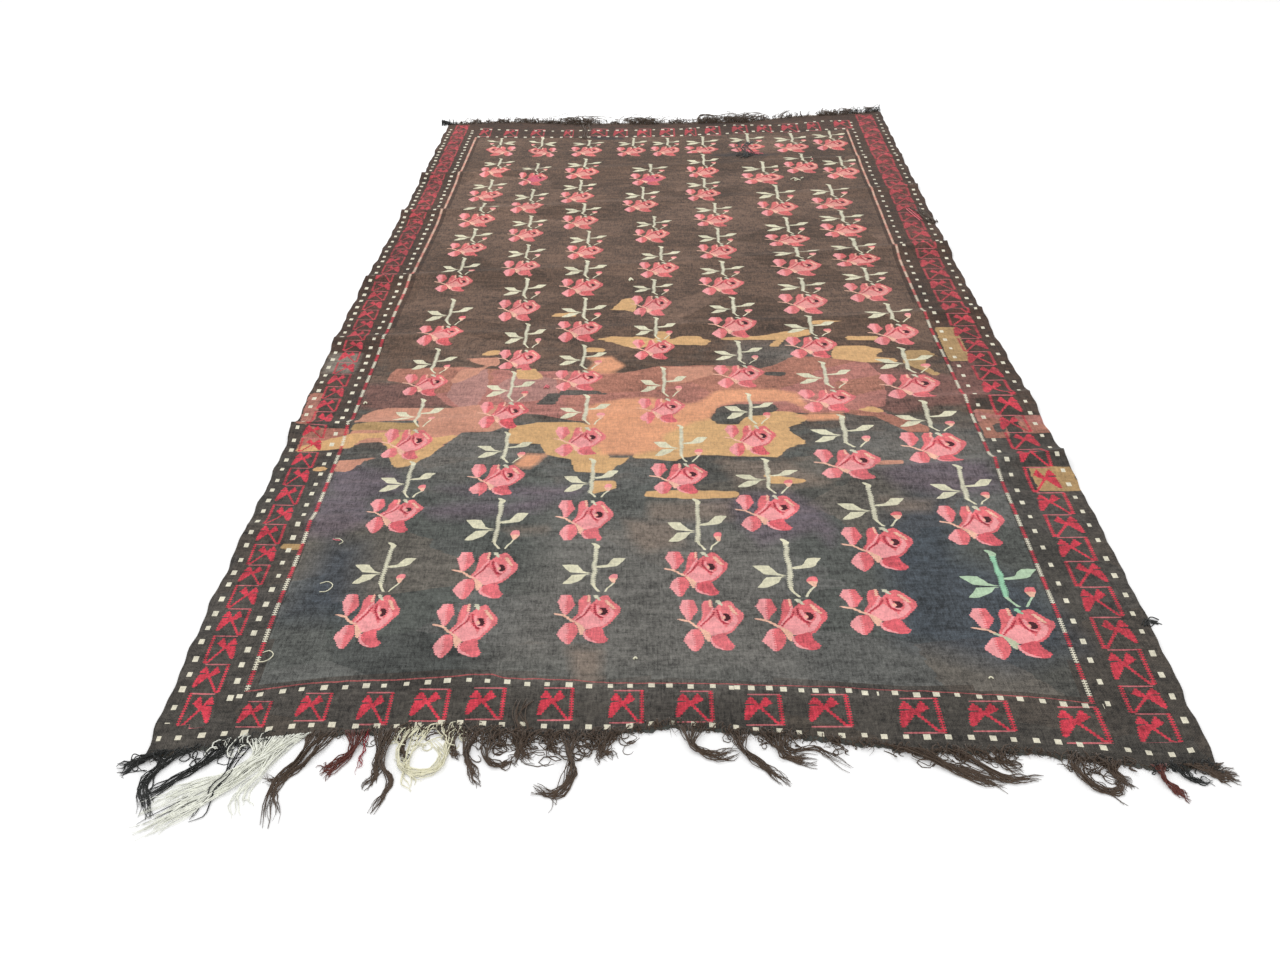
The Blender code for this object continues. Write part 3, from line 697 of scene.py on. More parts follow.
def layCloth():
    crests = cloth["creases"]
    middles = [0.0] + [(row[0] + row[1]) / 2 for row in crests] + [cloth["length"]]
    counts = [round((b - a) / cloth["rowLength"]) for a, b in zip(middles, middles[1:])]
    rows = sum(counts)
    rug, across, step = newGrid("kilimCloth", cloth["cells"], rows)
    step = step * rows

    # a row of cells lies along each crest, and the other rows share the room between them
    keys = [endsAt(edgeX(0.0, across))[0]]
    keys += [row[0] + (row[1] - row[0]) * across for row in crests]
    keys.append(endsAt(edgeX(cloth["length"], across))[1])
    y = np.zeros(len(step))
    done = 0
    for first, second, count in zip(keys, keys[1:], counts):
        here = (step >= done - 0.01) & (step <= done + count + 0.01)
        y = np.where(here, first + (second - first) * (step - done) / count, y)
        done += count
    x = edgeX(y, across)
    height = riseAt(x, y)
    height[(step < 0.5) | (step > rows - 0.5)] = 0.0
    rightSide = across > 0.5
    swing = np.sin(y * 41.0 + rightSide * 2.0) + 0.6 * np.sin(y * 97.0 + rightSide * 4.0)
    x += cloth["edgeWander"] * nearSelvedge(across) * swing * np.where(rightSide, 1.0, -1.0)
    thicken(rug, x, y, height, cloth["thickness"], 50)
    return rug


def addLayer(obj, name, values, domain="POINT"):
    layer = obj.data.attributes.new(name, "FLOAT_VECTOR", domain)
    layer.data.foreach_set("vector", np.asarray(values, dtype=np.float32).ravel())


def chartCloth(rug):
    # what the dyed pattern has to know about each place: how far it is from the sides, the ends,
    # the rows of dots and the patches, and which rose or box it lies on
    points = readPoints(rug)
    x, y = points[:, 0], points[:, 1]
    left, right = sidesAt(y)
    boxCount, dotCount = x * 0, x * 0
    for side, here in (("left", x < 0), ("right", x >= 0)):
        band = borders[side]
        ends = list(band["ends"])
        while ends[-1] < band["stop"]:
            ends.append(ends[-1] + band["others"])
        ends = np.array([onCloth(band["middleX"], end)[1] for end in ends])
        boxCount[here] = np.interp(y[here], ends, np.arange(len(ends)), left=-1.0, right=-1.0)
        dotCount[here] = tableAt(borders[side + "Dots"], y[here] * 100, 1)
    front, back = endsAt(x)
    rows = {}
    for name in ("frontDots", "frontInnerDots", "frontLine", "backDots", "backInnerDots"):
        rows[name] = [onCloth(*place) for place in borders[name]]
    fromRows = [y - tableAt(row, x, 1) for row in rows.values()] + [x * 0]
    depths = []
    for name, outlines in patches:
        depths.append(np.max([depthInside(points[:, :2], outline) for outline in outlines], axis=0))
    while len(depths) % 3:
        depths.append(x * 0 - 1.0)
    layers = {"fromSides": [x - left, right - x, boxCount], "fromEnds": [y - front, back - y, dotCount],
              "frontRows": fromRows[:3], "backRows": fromRows[3:]}
    for number in range(0, len(depths), 3):
        layers["patches" + str(number // 3)] = depths[number:number + 3]
    for name, values in layers.items():
        addLayer(rug, name, np.stack(values, axis=1))

    middles = np.empty(len(rug.data.polygons) * 3)
    rug.data.polygons.foreach_get("center", middles)
    x, y = middles.reshape(-1, 3)[:, 0], middles.reshape(-1, 3)[:, 1]
    faces = {name: np.zeros((len(x), 3)) for name in ("rosePlace", "roseSize", "boxPlace", "boxSize")}
    for xCm, yCm, widthCm, heightCm, topCm, kind in sum(rose["columns"], []):
        low, high = onCloth(xCm, yCm - heightCm / 2), onCloth(xCm, yCm + heightCm / 2)
        top = onCloth(xCm, topCm) if topCm else high
        start, stop = onCloth(xCm - widthCm / 2, yCm), onCloth(xCm + widthCm / 2, yCm)
        width, height = stop[0] - start[0], high[1] - low[1]
        middle = (start[0] + stop[0]) / 2
        # the leaves reach a little past the head
        near = (np.abs(x - middle) < width * 0.62 + 0.004) & (y > low[1] - 0.009) & (y < top[1] + 0.009)
        faces["rosePlace"][near] = (middle, low[1], kind)
        faces["roseSize"][near] = (width, height, max(top[1] - high[1], 0.0001))
    for startX, stopX, startY, stopY in borders["endBoxes"]:
        low, high = onCloth(startX, startY), onCloth(stopX, stopY)
        middle, size = (low + high) / 2, high - low
        near = np.abs(x - middle[0]) < size[0] / 2 + 0.008
        near &= np.abs(y - middle[1]) < size[1] / 2 + 0.008
        faces["boxPlace"][near] = (middle[0], middle[1], 1.0)
        faces["boxSize"][near] = (size[0], size[1], 0.0)
    for name, values in faces.items():
        addLayer(rug, name, values, "FACE")

    # whole faces inside the toothed lines are the field, which has a material of its own
    left, right = sidesAt(y)
    inField = (x - left > 0.160) & (right - x > 0.198) & (y - tableAt(rows["frontLine"], x, 1) > 0.014)
    return inField & (tableAt(rows["backInnerDots"], x, 1) - y > 0.014)


def teethAt(y, depth):
    # square teeth: out for half of the pitch and back for the other half
    return ((calc("FRACT", y / weave["tooth"]) > 0.5) - 0.5) * depth


def paintGround(x, y, onBorder):
    # the ground changes colour in steps: along the weft they run far, across it they jump
    jump = chance(calc("FLOOR", y / weave["pick"]), 3.0) - 0.5
    wander = noise(joinXyz(x, y * 2.0), 16.0) - 0.5
    ragged = jump * 0.004 + wander * 0.010
    streaks = noise(joinXyz(x * 0.9, y * 9.0), 6.0, 4.0)

    # lazy lines: the ground is filled in leaning pieces, each from its own batch of wool
    turnY, lean = weave["pieceLean"]
    leaning = x + calc("PINGPONG", y, turnY) * lean + jump * 0.012
    across, along = weave["pieceCount"]
    cells = {"Vector": joinXyz(leaning * across, y * along), "Scale": 1.0, "Randomness": 1.0}
    pieces = split(addNode("TexVoronoi", cells, "Color"), "Color")
    # towards the back the ground turns a lighter, warmer brown: partly the wool's own brown, partly
    # painted flare light that lightens the far half
    back = mapRange(y + wander * 0.7, 0.70, 1.40, slope="SMOOTHSTEP")
    front = mixColour(pieces[0], "charcoal", "slate")
    front = mixColour((pieces[1] > 0.74) * 0.55, front, "umber")
    front = mixColour((pieces[2] < 0.2) * 0.6, front, "soot")
    rear = mixColour(pieces[0], "backDark", "backBrown")
    rear = mixColour(mapRange(streaks, 0.3, 0.7, 0.0, 0.5), rear, "backBrown")
    colour = mixColour(back, front, rear)
    if onBorder:
        colour = mixColour(0.65, colour, mixColour(back, "borderNear", "borderDark"))

    for number, (name, outlines) in enumerate(patches):
        depth = attribute("patches" + str(number // 3))[number % 3]
        reach, strength = blends.get(name, crispBlend)
        share = mapRange(depth + ragged, -reach, reach, 0.0, strength)
        wool = name
        if name == "plum":
            wool = mixColour(streaks, name, "dusk")
        if name == "rust":
            wool = mixColour(mapRange(pieces[1], 0.3, 0.7), name, "rose")
        colour = mixColour(share, colour, wool)
    return colour


def paintRoses(x, y, colour):
    place, size = attribute("rosePlace"), attribute("roseSize")
    isTurned, isMint, isDeep = place[2] > 2.5, between(place[2], 1.5, 2.5), between(place[2], 0.5, 1.5)
    tone = chance(place[0], place[1])
    # no two roses are quite alike
    wobble = noise(joinXyz(x, y, 4.0), 34.0, 1.0)
    wide = (x + mapRange(wobble, 0.3, 0.7, -0.0022, 0.0022) - place[0]) / size[0] + 0.5
    wide = widthOnRamp(mixFloat(isTurned, wide, 1.0 - wide))
    onRose = size[0] > 0.01
    rise = y - place[1]
    head = rise / size[1]
    stem = (rise - size[1]) / size[2]
    lifted = stem - mapRange(tone, 0.0, 1.0, -0.012, 0.045)
    paler = mapRange(tone, 0.0, 1.0, 0.0, 0.30)
    far = mapRange(y, 0.6, 2.2, 0.0, 0.55)
    shades = {
        "petal": mixColour(far, mixColour(paler, "petal", "blush"), "farPetal"),
        "deep": mixColour(far, mixColour(paler, "deep", "blush"), "farPetal"),
        "blush": mixColour(isDeep * 0.6, mixColour(far, "blush", "coral"), "magenta"),
        "pale": mixColour(isMint * (head < 0.5) * 0.6, "pale", "mint"),
        "crimson": mixColour(isDeep, "crimson", "magenta"),
        "stalk": mixColour(isMint, "stalk", "mint"),
        "leaf": mixColour(isMint * 0.6, "leaf", "mint"),
        "bud": mixColour(tone, "petal", "blush"),
        "eye": "eye",
    }
    shades["tip"] = shades["leaf"]
    lowSplit, highSplit = map(onRamp, rose["petalSplits"])
    parting = mixFloat(head > 0.5, lowSplit, highSplit) + teethAt(y, 0.022)
    shades["leftPetals"] = mixColour(wide < parting, shades["petal"], "blush")
    teeth = {name: teethAt(y, depth) / size[0] * (figureGrid / figureReach)
             for name, depth in rose["teeth"].items()}
    for name, outlines in rose["head"]:
        mask = spanMask(head, wide, outlines, teeth["head"])
        colour = mixColour(mask * onRose, colour, shades[name])
    for name, outlines in rose["stem"]:
        height = stem if name in ("stalk", "tip") else lifted
        mask = spanMask(height, wide, outlines, teeth["stalk" if name == "stalk" else "stem"])
        colour = mixColour(mask * onRose, colour, shades[name])
    return colour


def maskDots(room, distance, counted, pitch, seed):
    number = calc("FLOOR", counted)
    shift, sway, size = (mapRange(chance(number, seed + turn), 0.0, 1.0, *limits)
                         for turn, limits in enumerate(dotLimits))
    offset = calc("ABSOLUTE", calc("FRACT", counted) - (shift + 0.5))
    away = calc("ABSOLUTE", distance - sway)
    return (offset * (pitch * dotShape) < size) * (away < size) * room


def paintBorders(x, y, colour):
    sides, ends, place, size, frontRows, backRows = map(
        attribute, ("fromSides", "fromEnds", "boxPlace", "boxSize", "frontRows", "backRows"))
    bySide = {"left": sides[0], "right": sides[1]}
    onEnd = size[0] > 0.01
    wide = (x - place[0]) / size[0] + 0.5
    high = (y - place[1]) / size[1] + 0.5
    count = sides[2]
    inCount = count > 0.0
    onSides = []
    for name, odd in (("left", 0.0), ("right", 1.0)):
        band = borders[name]
        turn = calc("PINGPONG", calc("FLOOR", count) + odd, 1.0)
        inBand = (bySide[name] - band["start"]) / band["width"]
        if name == "right":
            inBand = 1.0 - inBand
        mirrored = mixFloat(turn, 1.0 - inBand, inBand)
        onSides.append(between(inBand, -0.04, 1.04) * inCount)
        wide = mixFloat(onSides[-1], wide, mirrored)
        high = mixFloat(onSides[-1], high, calc("FRACT", count))
    onAnySide = calc("MAXIMUM", *onSides)
    wide = widthOnRamp(wide)
    far = mapRange(y, 0.8, 2.0)
    red = mixColour(far, "border", "borderFar")
    shades = {"border": red, "borderSide": red, "borderPale": "borderPale",
              "borderSlit": mixColour(far, "soot", "borderFar")}
    onBox = calc("MAXIMUM", onEnd, onAnySide)
    for name, outlines in borders["figure"]:
        teeth = teethAt(y, borders["teeth"][name]) if name in borders["teeth"] else None
        colour = mixColour(spanMask(high, wide, outlines, teeth) * onBox, colour, shades[name])
    name, outlines = borders["foot"]
    onFoot = calc("MAXIMUM", onEnd, (count < 1.0) * onAnySide)
    colour = mixColour(spanMask(high, wide, outlines) * onFoot, colour, shades[name])
    # towards the back the reds of the side bands run together
    inWide = between(wide, onRamp(0), onRamp(figureGrid))
    thick = mapRange(noise(joinXyz(x, y, 9.0), 70.0), 0.35, 0.6)
    filled = onAnySide * inWide * mapRange(y, 1.2, 2.6, 0.0, 0.30) * thick
    colour = mixColour(filled, colour, "borderFar")

    # outer and inner dots along the sides, then the rows of the two ends
    onLeft = x < 0.0
    halves = {"left": onLeft, "right": 1.0 - onLeft}
    outer = (frontRows[0] > 0.030) * (ends[1] > 0.045)
    inner = (frontRows[0] > 0.055) * (backRows[0] < -0.01)
    rows = []
    for turn, (room, shift) in enumerate(((outer, 0.0), (inner, 0.35))):
        for name, seed in (("left", 1.0), ("right", 5.0)):
            rows.append((room * halves[name], bySide[name] - sideRows[name][turn], ends[2] + shift,
                         dotPitch[name], seed + 8.0 * turn))
    middle = (sides[0] > 0.125) * (sides[1] > 0.165)
    close = middle * between(x, 0.105, 0.385)
    endPitch, closePitch = dotPitch["ends"], dotPitch["close"]
    rows += [
        ((sides[0] > 0.010) * (sides[1] > 0.018), frontRows[0], x / endPitch, endPitch, 17.0),
        (middle * (1.0 - close), frontRows[1], x / endPitch, endPitch, 21.0),
        (close, frontRows[1], x / closePitch, closePitch, 33.0),
        (middle, backRows[0], x / endPitch, endPitch, 25.0),
        (middle, backRows[1], x / endPitch, endPitch, 29.0),
    ]
    for row in rows:
        colour = mixColour(maskDots(*row), colour, "cream")

    # the toothed line inside the border: cream and red in turn, all pale towards the back
    lineRoom = (frontRows[2] > 0.0) * (backRows[1] < -0.008)
    late = mapRange(y, 1.5, 2.1, 0.0, 0.75)
    for name, (outerRow, innerRow, lineX, period) in sideRows.items():
        isCream = calc("FRACT", (y - 0.008) / period) < 0.5
        away = calc("ABSOLUTE", bySide[name] - lineX)
        line = (away < teethAt(y, 0.0036) + 0.0031) * lineRoom
        wool = mixColour(isCream, mixColour(late, "border", "pale"), mixColour(late, "cream", "pale"))
        colour = mixColour(line * 0.92, colour, wool)
    waver = mapRange(noise(joinXyz(x, 1.0), 30.0), 0.3, 0.7, -0.0012, 0.0012)
    thin = calc("ABSOLUTE", frontRows[2] + waver) < mapRange(x, -0.4, -0.2, 0.0016, 0.0011)
    frontLine = thin * (sides[0] > 0.143) * (sides[1] > 0.183)
    return mixColour(frontLine * 0.8, colour, "line")


def dyeCloth(rug, inField):
    rug.data.materials.clear()
    rug.data.materials.append(mixDye("borderWool", paintBorders))
    rug.data.materials.append(mixDye("fieldWool", paintRoses))
    rug.data.polygons.foreach_set("material_index", inField.astype(np.int32))


def mixDye(name, paintPattern):
    material = newWool(name)
    parts = split(addNode("TexCoord", {}, "Object"))
    x, y = parts[0] - shiftX, parts[1] - shiftY
    colour = paintPattern(x, y, paintGround(x, y, paintPattern is paintBorders))

    # each weft row and each rib a little lighter or darker, with specks and flecks, streaks along
    # the weft, knots and broad clouds: where the noise is low, how dark and how light it turns
    flat = joinXyz(x, y)
    row, rib = calc("FLOOR", y / (weave["weft"] * 2)), calc("FLOOR", x / weave["warp"])
    speck = noise(flat, 420.0, 2.0, 0.7)
    grains = (
        (noise(joinXyz(x * 30.0, row * 0.71), 1.0), 0.2, -0.30, 0.30),
        (noise(joinXyz(rib * 0.71, y * 45.0), 1.0), 0.2, -0.45, 0.45),
        (speck, 0.2, -0.60, 0.60),
        (noise(flat, 130.0, 2.0, 0.6), 0.25, -0.36, 0.36),
        (noise(joinXyz(x * 9.0, y * 50.0), 1.0, 4.0, 0.65), 0.25, -0.42, 0.36),
        (noise(flat, 48.0, 2.0, 0.6), 0.25, -0.30, 0.26),
        (noise(flat, 5.0, 3.0, 0.6), 0.25, -0.40, 0.24),
    )
    tones = [mapRange(grain, low, 1.0 - low, dark, light) for grain, low, dark, light in grains]
    # dark wool shows its grain the most
    grey = addNode("RGBToBW", {0: colour})
    tone = sum(tones[1:], tones[0]) * mapRange(grey, 0.05, 0.35, 1.0, 0.32)
    ribs = calc("SINE", x * (2 * math.pi / weave["warp"]))
    wefts = calc("SINE", y * (2 * math.pi / (weave["weft"] * 2)))
    height = ribs + wefts * 0.5 + speck * 1.6 + noise(flat, 60.0) * 2.0
    finishWool(material, colour, calc("MAXIMUM", tone + 1.0, 0.25), height, weave["finish"])
    return material


# Loose warp ends. Places are in centimetres on the floor, as for the roses.
fringe = {
    "webWidth": 0.008,       # bound edge that the loose ends grow from
    "webThickness": 0.0022,
    "woolRadius": 0.00105,
    "cottonRadius": 0.00115,
    "steps": 15,             # points along a strand
    "fuzzPerMetre": 420,
    "fuzzLength": (0.007, 0.026),
    "fuzzRadius": 0.00042,
    # which way is outward, how many tangled strands stay short, and how high they pile up
    "tangle": {
        "front": {"outward": -1.0, "shortness": 1.5, "pile": 0.012},
        "back": {"outward": 1.0, "shortness": 2.6, "pile": 0.022},
        "highest": 0.024,
    },
    # wool, strands, root from x to x, middle of the lock from its waist to its tip, spread at the tip
    "front": [
        ("black", 20, -100, -94, [(-101, -6), (-103.4, -7.6)], 2.6),
        ("black", 16, -99, -90, [(-96, -7), (-97.5, -11), (-94.5, -17.5)], 3.0),
        ("black", 12, -88, -82, [(-88, -6), (-93, -10), (-97, -13.5)], 2.4),
        ("black", 3, -80, -70, [(-80, -8), (-87, -13.5), (-95, -18.5)], 5.0),
        ("cotton", 40, -82, -70, [(-79, -6), (-86, -11.5), (-94.5, -17.5)], 8.0),
        ("cotton", 12, -80, -69.5, [(-80, -9), (-88, -15), (-96.5, -20.6)], 3.5),
        ("cotton", 7, -78, -71, [(-77, -8), (-79.5, -12.5), (-78, -16.5)], 5.0),
        ("black", 4, -84, -80, [(-83.5, -9), (-85, -14), (-87, -17.5)], 2.5),
        ("brown", 17, -71, -66.5, [(-70.8, -5), (-73.8, -10.5), (-72.5, -18.5)], 3.2),
        ("brown", 9, -68, -64.5, [(-69, -5), (-73, -9.5), (-76.5, -9)], 1.2),
        ("redBrown", 16, -64, -59.5, [(-61.5, -3.5), (-64.6, -7), (-66.2, -8.4)], 3.4),
        ("red", 3, -60.2, -58.8, [(-59.6, -4), (-59.6, -9.6)], 0.8),
        ("brown", 15, -58.6, -54.5, [(-56.6, -4), (-56.2, -8), (-57.4, -11.5)], 1.4),
        ("brown", 9, -57, -54, [(-55.6, -6), (-53.2, -10), (-55.2, -16)], 1.3),
        ("brown", 10, -53.5, -51, [(-52.4, -3), (-51.5, -5.5)], 1.8),
        ("cream", 9, -52, -49.5, [(-53, -3), (-51.5, -7.2), (-47, -8), (-44.6, -4.5), (-47, -1.2)], 1.6),
        ("cream", 7, -46, -43, [(-44, -3), (-45.5, -7.4), (-50, -7.8), (-53, -5)], 1.6),
        ("cream", 5, -51, -47, [(-51, -6), (-50, -9), (-48.6, -11.6)], 3.2),
        ("brown", 10, -45, -41.5, [(-43, -3), (-41.5, -5)], 2.0),
        ("brown", 16, -41.5, -37.5, [(-40.4, -4), (-39, -7), (-37.4, -11)], 1.2),
        ("brown", 12, -38.5, -34, [(-36.5, -4.5), (-33.5, -6.6), (-31, -5)], 1.6),
        ("brown", 22, -33, -27, [(-30.5, -3), (-29.5, -6)], 4.6),
        ("brown", 15, -23.5, -19.5, [(-21, -4.5), (-20.2, -8.5), (-23, -12.3), (-27.2, -11.6)], 1.6),
        ("brown", 3, -22, -20, [(-21, -6), (-23, -12), (-24, -16.4)], 0.6),
        ("brown", 8, -26.5, -23.5, [(-25, -2.6), (-22.6, -3.4)], 1.4),
        ("brown", 20, -18, -11, [(-15, -3), (-14, -5.4)], 5.0),
        ("brown", 16, -1, 4.5, [(2, -2.4), (6, -4.4), (10.2, -3.6)], 2.0),
        ("brown", 15, 8, 13, [(11, -3), (14.5, -6.5), (19, -10.6)], 1.5),
        ("brown", 18, 13.6, 21, [(18, -3), (20, -5), (24.6, -5.4)], 2.6),
        ("brown", 7, 18, 21.5, [(20, -3.4), (25, -3), (30.5, -7)], 1.6),
        ("brown", 26, 36.5, 50, [(46, -5), (52, -8.5), (58, -10.5)], 3.0),
        ("brown", 12, 47, 53, [(52, -5), (58, -9), (65, -9.4)], 1.6),
        ("brown", 16, 52, 61, [(58, -5.6), (62, -7)], 5.0),
        ("brown", 14, 71, 75, [(71.5, -7), (74, -11), (78, -12), (78.6, -9.5)], 1.4),
        ("brown", 20, 75, 80.5, [(78.5, -8), (80.5, -11.6)], 3.0),
        ("brown", 3, 73, 75, [(74, -9), (78, -14.6)], 0.5),
        ("redBrown", 15, 85.5, 88.8, [(86.8, -9), (88.2, -11.5), (89.8, -13.8)], 1.2),
        ("black", 12, 88.5, 92.5, [(92, -9.4), (95.5, -10.2)], 1.6),
        ("brown", 48, 90.5, 99.4, [(96, -7.8), (100.6, -9)], 3.4),
    ],
    # tangled loops between the locks: wool, strands, root from x to x, how far out and how far in
    "frontTangles": [
        ("black", 26, -101, -86, 3.6, 0.4), ("black", 14, -86, -74, 3.0, 1.2),
        ("cotton", 10, -86, -78, 3.6, 1.4),
        ("brown", 10, -72, -60, 1.6, 0.4), ("brown", 16, -60, -51, 3.0, 0.8),
        ("cream", 16, -54, -42, 5.4, 0.8),
        ("brown", 26, -52, -36, 3.4, 1.0), ("brown", 62, -36, -23, 5.6, 0.6),
        ("brown", 46, -23, -10, 4.4, 0.8),
        ("brown", 44, -10, 8, 0.9, 1.5), ("brown", 56, 8, 33, 3.0, 0.8), ("brown", 14, 33, 40, 1.2, 0.5),
        ("brown", 46, 40, 62, 3.2, 0.8), ("brown", 10, 62, 70, 1.0, 0.4), ("brown", 34, 70, 82, 4.0, 1.4),
        ("black", 16, 85, 98, 2.4, 0.6),
    ],
    "backTangles": [
        ("black", 26, -99, -90, 3.0, 1.2), ("brown", 24, -90, -76, 2.2, 0.4),
        ("brown", 26, -76, -64, 2.4, 0.4),
        ("brown", 22, -64, -55, 4.6, 0.6), ("brown", 48, -56, -42, 3.0, 0.8),
        ("brown", 60, -42, -29, 8.0, 2.2),
        ("brown", 20, -29, -14, 2.0, 0.5), ("brown", 68, -13, -1, 7.4, 0.8),
        ("brown", 20, -1, 8, 2.2, 0.4),
        ("brown", 20, 8, 18, 3.4, 0.5), ("brown", 56, 18, 29, 7.0, 1.2), ("brown", 70, 30, 43, 9.0, 1.6),
        ("brown", 26, 43, 60, 2.8, 0.6), ("brown", 22, 60, 74, 1.8, 0.4), ("brown", 54, 74, 88, 4.6, 0.8),
        ("black", 40, 88, 103, 4.4, 0.8),
    ],
    "back": [
        ("black", 18, -94.5, -91, [(-95.4, 328), (-97.2, 330.8)], 2.2),
        ("brown", 12, -85, -78, [(-82, 330), (-83.5, 332.4)], 4.5),
        ("brown", 10, -74, -68, [(-71, 330.5), (-70, 332.6)], 4.0),
        ("brown", 12, -64, -56, [(-60, 330.6), (-61.5, 333.6)], 5.0),
        ("brown", 10, -50, -44, [(-47, 329), (-46.5, 331)], 4.0),
        ("brown", 14, -42, -35, [(-38, 330), (-39, 335)], 4.5),
        ("brown", 12, -35, -28.5, [(-31, 329), (-30, 333)], 4.0),
        ("brown", 8, -22, -16, [(-20, 328), (-19, 330.4)], 4.0),
        ("brown", 16, -10, -1, [(-6, 329.6), (-5, 333.4)], 6.0),
        ("brown", 8, 5, 11, [(8, 329.6), (9, 332)], 4.0),
        ("brown", 6, 18, 21, [(18.4, 333), (21, 337.6), (25.6, 336.5), (26.5, 331)], 0.8),
        ("brown", 12, 19, 27, [(22.5, 331), (23, 334)], 5.0),
        ("brown", 20, 29, 43, [(36, 333), (35.6, 336.8)], 9.0),
        ("brown", 5, 41, 44, [(46, 335), (50.5, 339)], 1.0),
        ("brown", 10, 46, 51, [(48.6, 334), (49, 335.8)], 3.4),
        ("brown", 6, 54.5, 60, [(57, 338), (60.6, 345)], 2.4),
        ("brown", 14, 74.5, 83, [(78, 341), (79, 344.6)], 6.0),
        ("brown", 14, 85, 93, [(88, 343.6), (89, 346.8)], 6.0),
        ("brown", 16, 95, 102.6, [(98.6, 346), (99, 349.3)], 6.0),
    ],
}

yarnFinish = {"roughness": 0.85, "gloss": 0.25, "sheen": 0.25, "sheenRoughness": 0.5,
              "strength": 0.6, "depth": 0.0006}
# per wool a middle, a dark and a light shade: partly real tone from strand to strand, partly painted
# shade between strands and painted highlights on them
yarnShades = {
    "brown": [(92, 79, 69), (50, 42, 37), (166, 151, 136)],
    "black": [(56, 57, 56), (38, 39, 39), (84, 86, 82)],
    "cotton": [(247, 248, 236), (230, 232, 218), (253, 253, 247)],
    "cream": [(240, 236, 208), (222, 217, 184), (248, 246, 226)],
    "red": [(150, 40, 56), (122, 32, 46), (170, 58, 70)],
    "redBrown": [(108, 66, 60), (80, 50, 44), (140, 84, 78)],
    "pink": [(236, 132, 140), (220, 96, 110), (244, 170, 170)],
}

# loose threads on the cloth: wool, strands, route in centimetres, how wide they wander, thickness
looseThreads = [
    ("cream", 1, [(-78.6, 39.8), (-77, 40.4), (-75.7, 39.2), (-76.6, 37.5), (-78.1, 37.3)], 0.1, 0.0011),
    ("cream", 1, [(-85.4, 20.2), (-84, 20.6), (-82.8, 19.4), (-83.6, 18), (-85, 17.6),
        (-86, 18.4)], 0.1, 0.0011),
    ("cream", 1, [(-79, 54.4), (-77.8, 54), (-76.8, 53), (-77.6, 52.4)], 0.1, 0.0013),
    ("pink", 1, [(-79.4, 54), (-78.6, 53.4), (-77.6, 53.6)], 0.1, 0.0014),
    ("cream", 1, [(-9.4, 18.4), (-9, 18.8), (-8.6, 18.5)], 0.0, 0.0020),
    ("cream", 1, [(61.6, 13.5), (62, 13.8), (62.5, 13.5)], 0.0, 0.0016),
    ("cream", 3, [(53.4, 263), (54.4, 263.8), (55.6, 263.4)], 0.8, 0.0024),
    ("cream", 2, [(56.4, 265), (57.2, 265.6)], 0.6, 0.0022),
    ("cream", 1, [(-84.2, 108.2), (-83.8, 108.8), (-83.3, 108.5)], 0.0, 0.0024),
    ("cream", 2, [(-11.8, 179), (-11, 179.8), (-10.2, 179.2)], 0.5, 0.0028),
    ("pink", 2, [(-35, 116.3), (-34.4, 116.8), (-33.9, 116.4)], 0.4, 0.0022),
    ("pink", 3, [(36, 296), (39, 293.4), (43, 291.6)], 1.6, 0.0016),
    ("black", 9, [(34.4, 288.4), (37, 292), (36, 300), (38.6, 306)], 2.6, 0.0016),
    ("brown", 9, [(-31, 8), (-31.6, 4.6), (-30.4, 1.6), (-31, -1.6)], 1.0, 0.0011),
    ("brown", 8, [(-32.4, 309), (-31, 317), (-32.6, 325), (-31, 331)], 1.8, 0.0014),
    ("black", 7, [(98.6, 28), (100, 29.4), (101.6, 29)], 0.8, 0.0013),
    ("brown", 8, [(96, 236), (97.4, 230), (99.4, 224), (100.4, 227)], 1.6, 0.0015),
    ("pink", 2, [(93, 236), (95, 230), (96.4, 226)], 0.8, 0.0014),
]


def spinYarn(wool):
    # three shades of the same yarn, each with its fibres and its twist: besides real differences from
    # strand to strand, the dark one paints shade in the gaps and the light one paints highlights
    shades = []
    for number, shade in enumerate(yarnShades[wool]):
        name = wool + "Yarn" + str(number)
        material = bpy.data.materials.get(name)
        if material is None:
            material = newWool(name)
            place = addNode("TexCoord", {}, "Object")
            fibres, twist = noise(place, 700.0, 3.0, 0.7), noise(place, 90.0)
            tone = mapRange(fibres, 0.25, 0.75, 0.68, 1.24) + mapRange(twist, 0.3, 0.7, -0.14, 0.14)
            finishWool(material, linear(shade)[:3], tone, fibres, yarnFinish)
        shades.append(material)
    return shades


def endY(end, x):
    return float(tableAt(cloth[end + "End"], x, 1))


def endSpan(end):
    return edgeX(endY(end, 0.0), 0.0), edgeX(endY(end, 0.0), 1.0)


def smoothLine(corners, count):
    # points on a smooth curve through the corners
    padded = np.array([2 * corners[0] - corners[1]] + corners + [2 * corners[-1] - corners[-2]])
    places = np.linspace(0.0, len(corners) - 1.0001, count)
    first = places.astype(int)
    t = (places - first)[:, None]
    a, b, c, d = (padded[first + k] for k in range(4))
    bend, twist = 2 * a - 5 * b + 4 * c - d, 3 * b - a - 3 * c + d
    return 0.5 * (2 * b + (c - a) * t + bend * t ** 2 + twist * t ** 3)


def newYarn(name, sides):
    bpy.ops.object.select_all(action="DESELECT")
    bpy.ops.curve.primitive_nurbs_path_add()
    yarn = bpy.context.object
    yarn.name = name
    yarn.data.splines.clear()
    yarn.data.bevel_depth = 1.0
    yarn.data.bevel_resolution = sides
    yarn.data.use_fill_caps = True
    return yarn


def addStrand(yarn, points, radii, shade=0):
    spline = yarn.data.splines.new("POLY")
    spline.points.add(len(points) - 1)
    spline.points.foreach_set("co", np.c_[points, np.ones(len(points))].ravel())
    spline.points.foreach_set("radius", radii)
    spline.use_smooth = True
    spline.material_index = shade


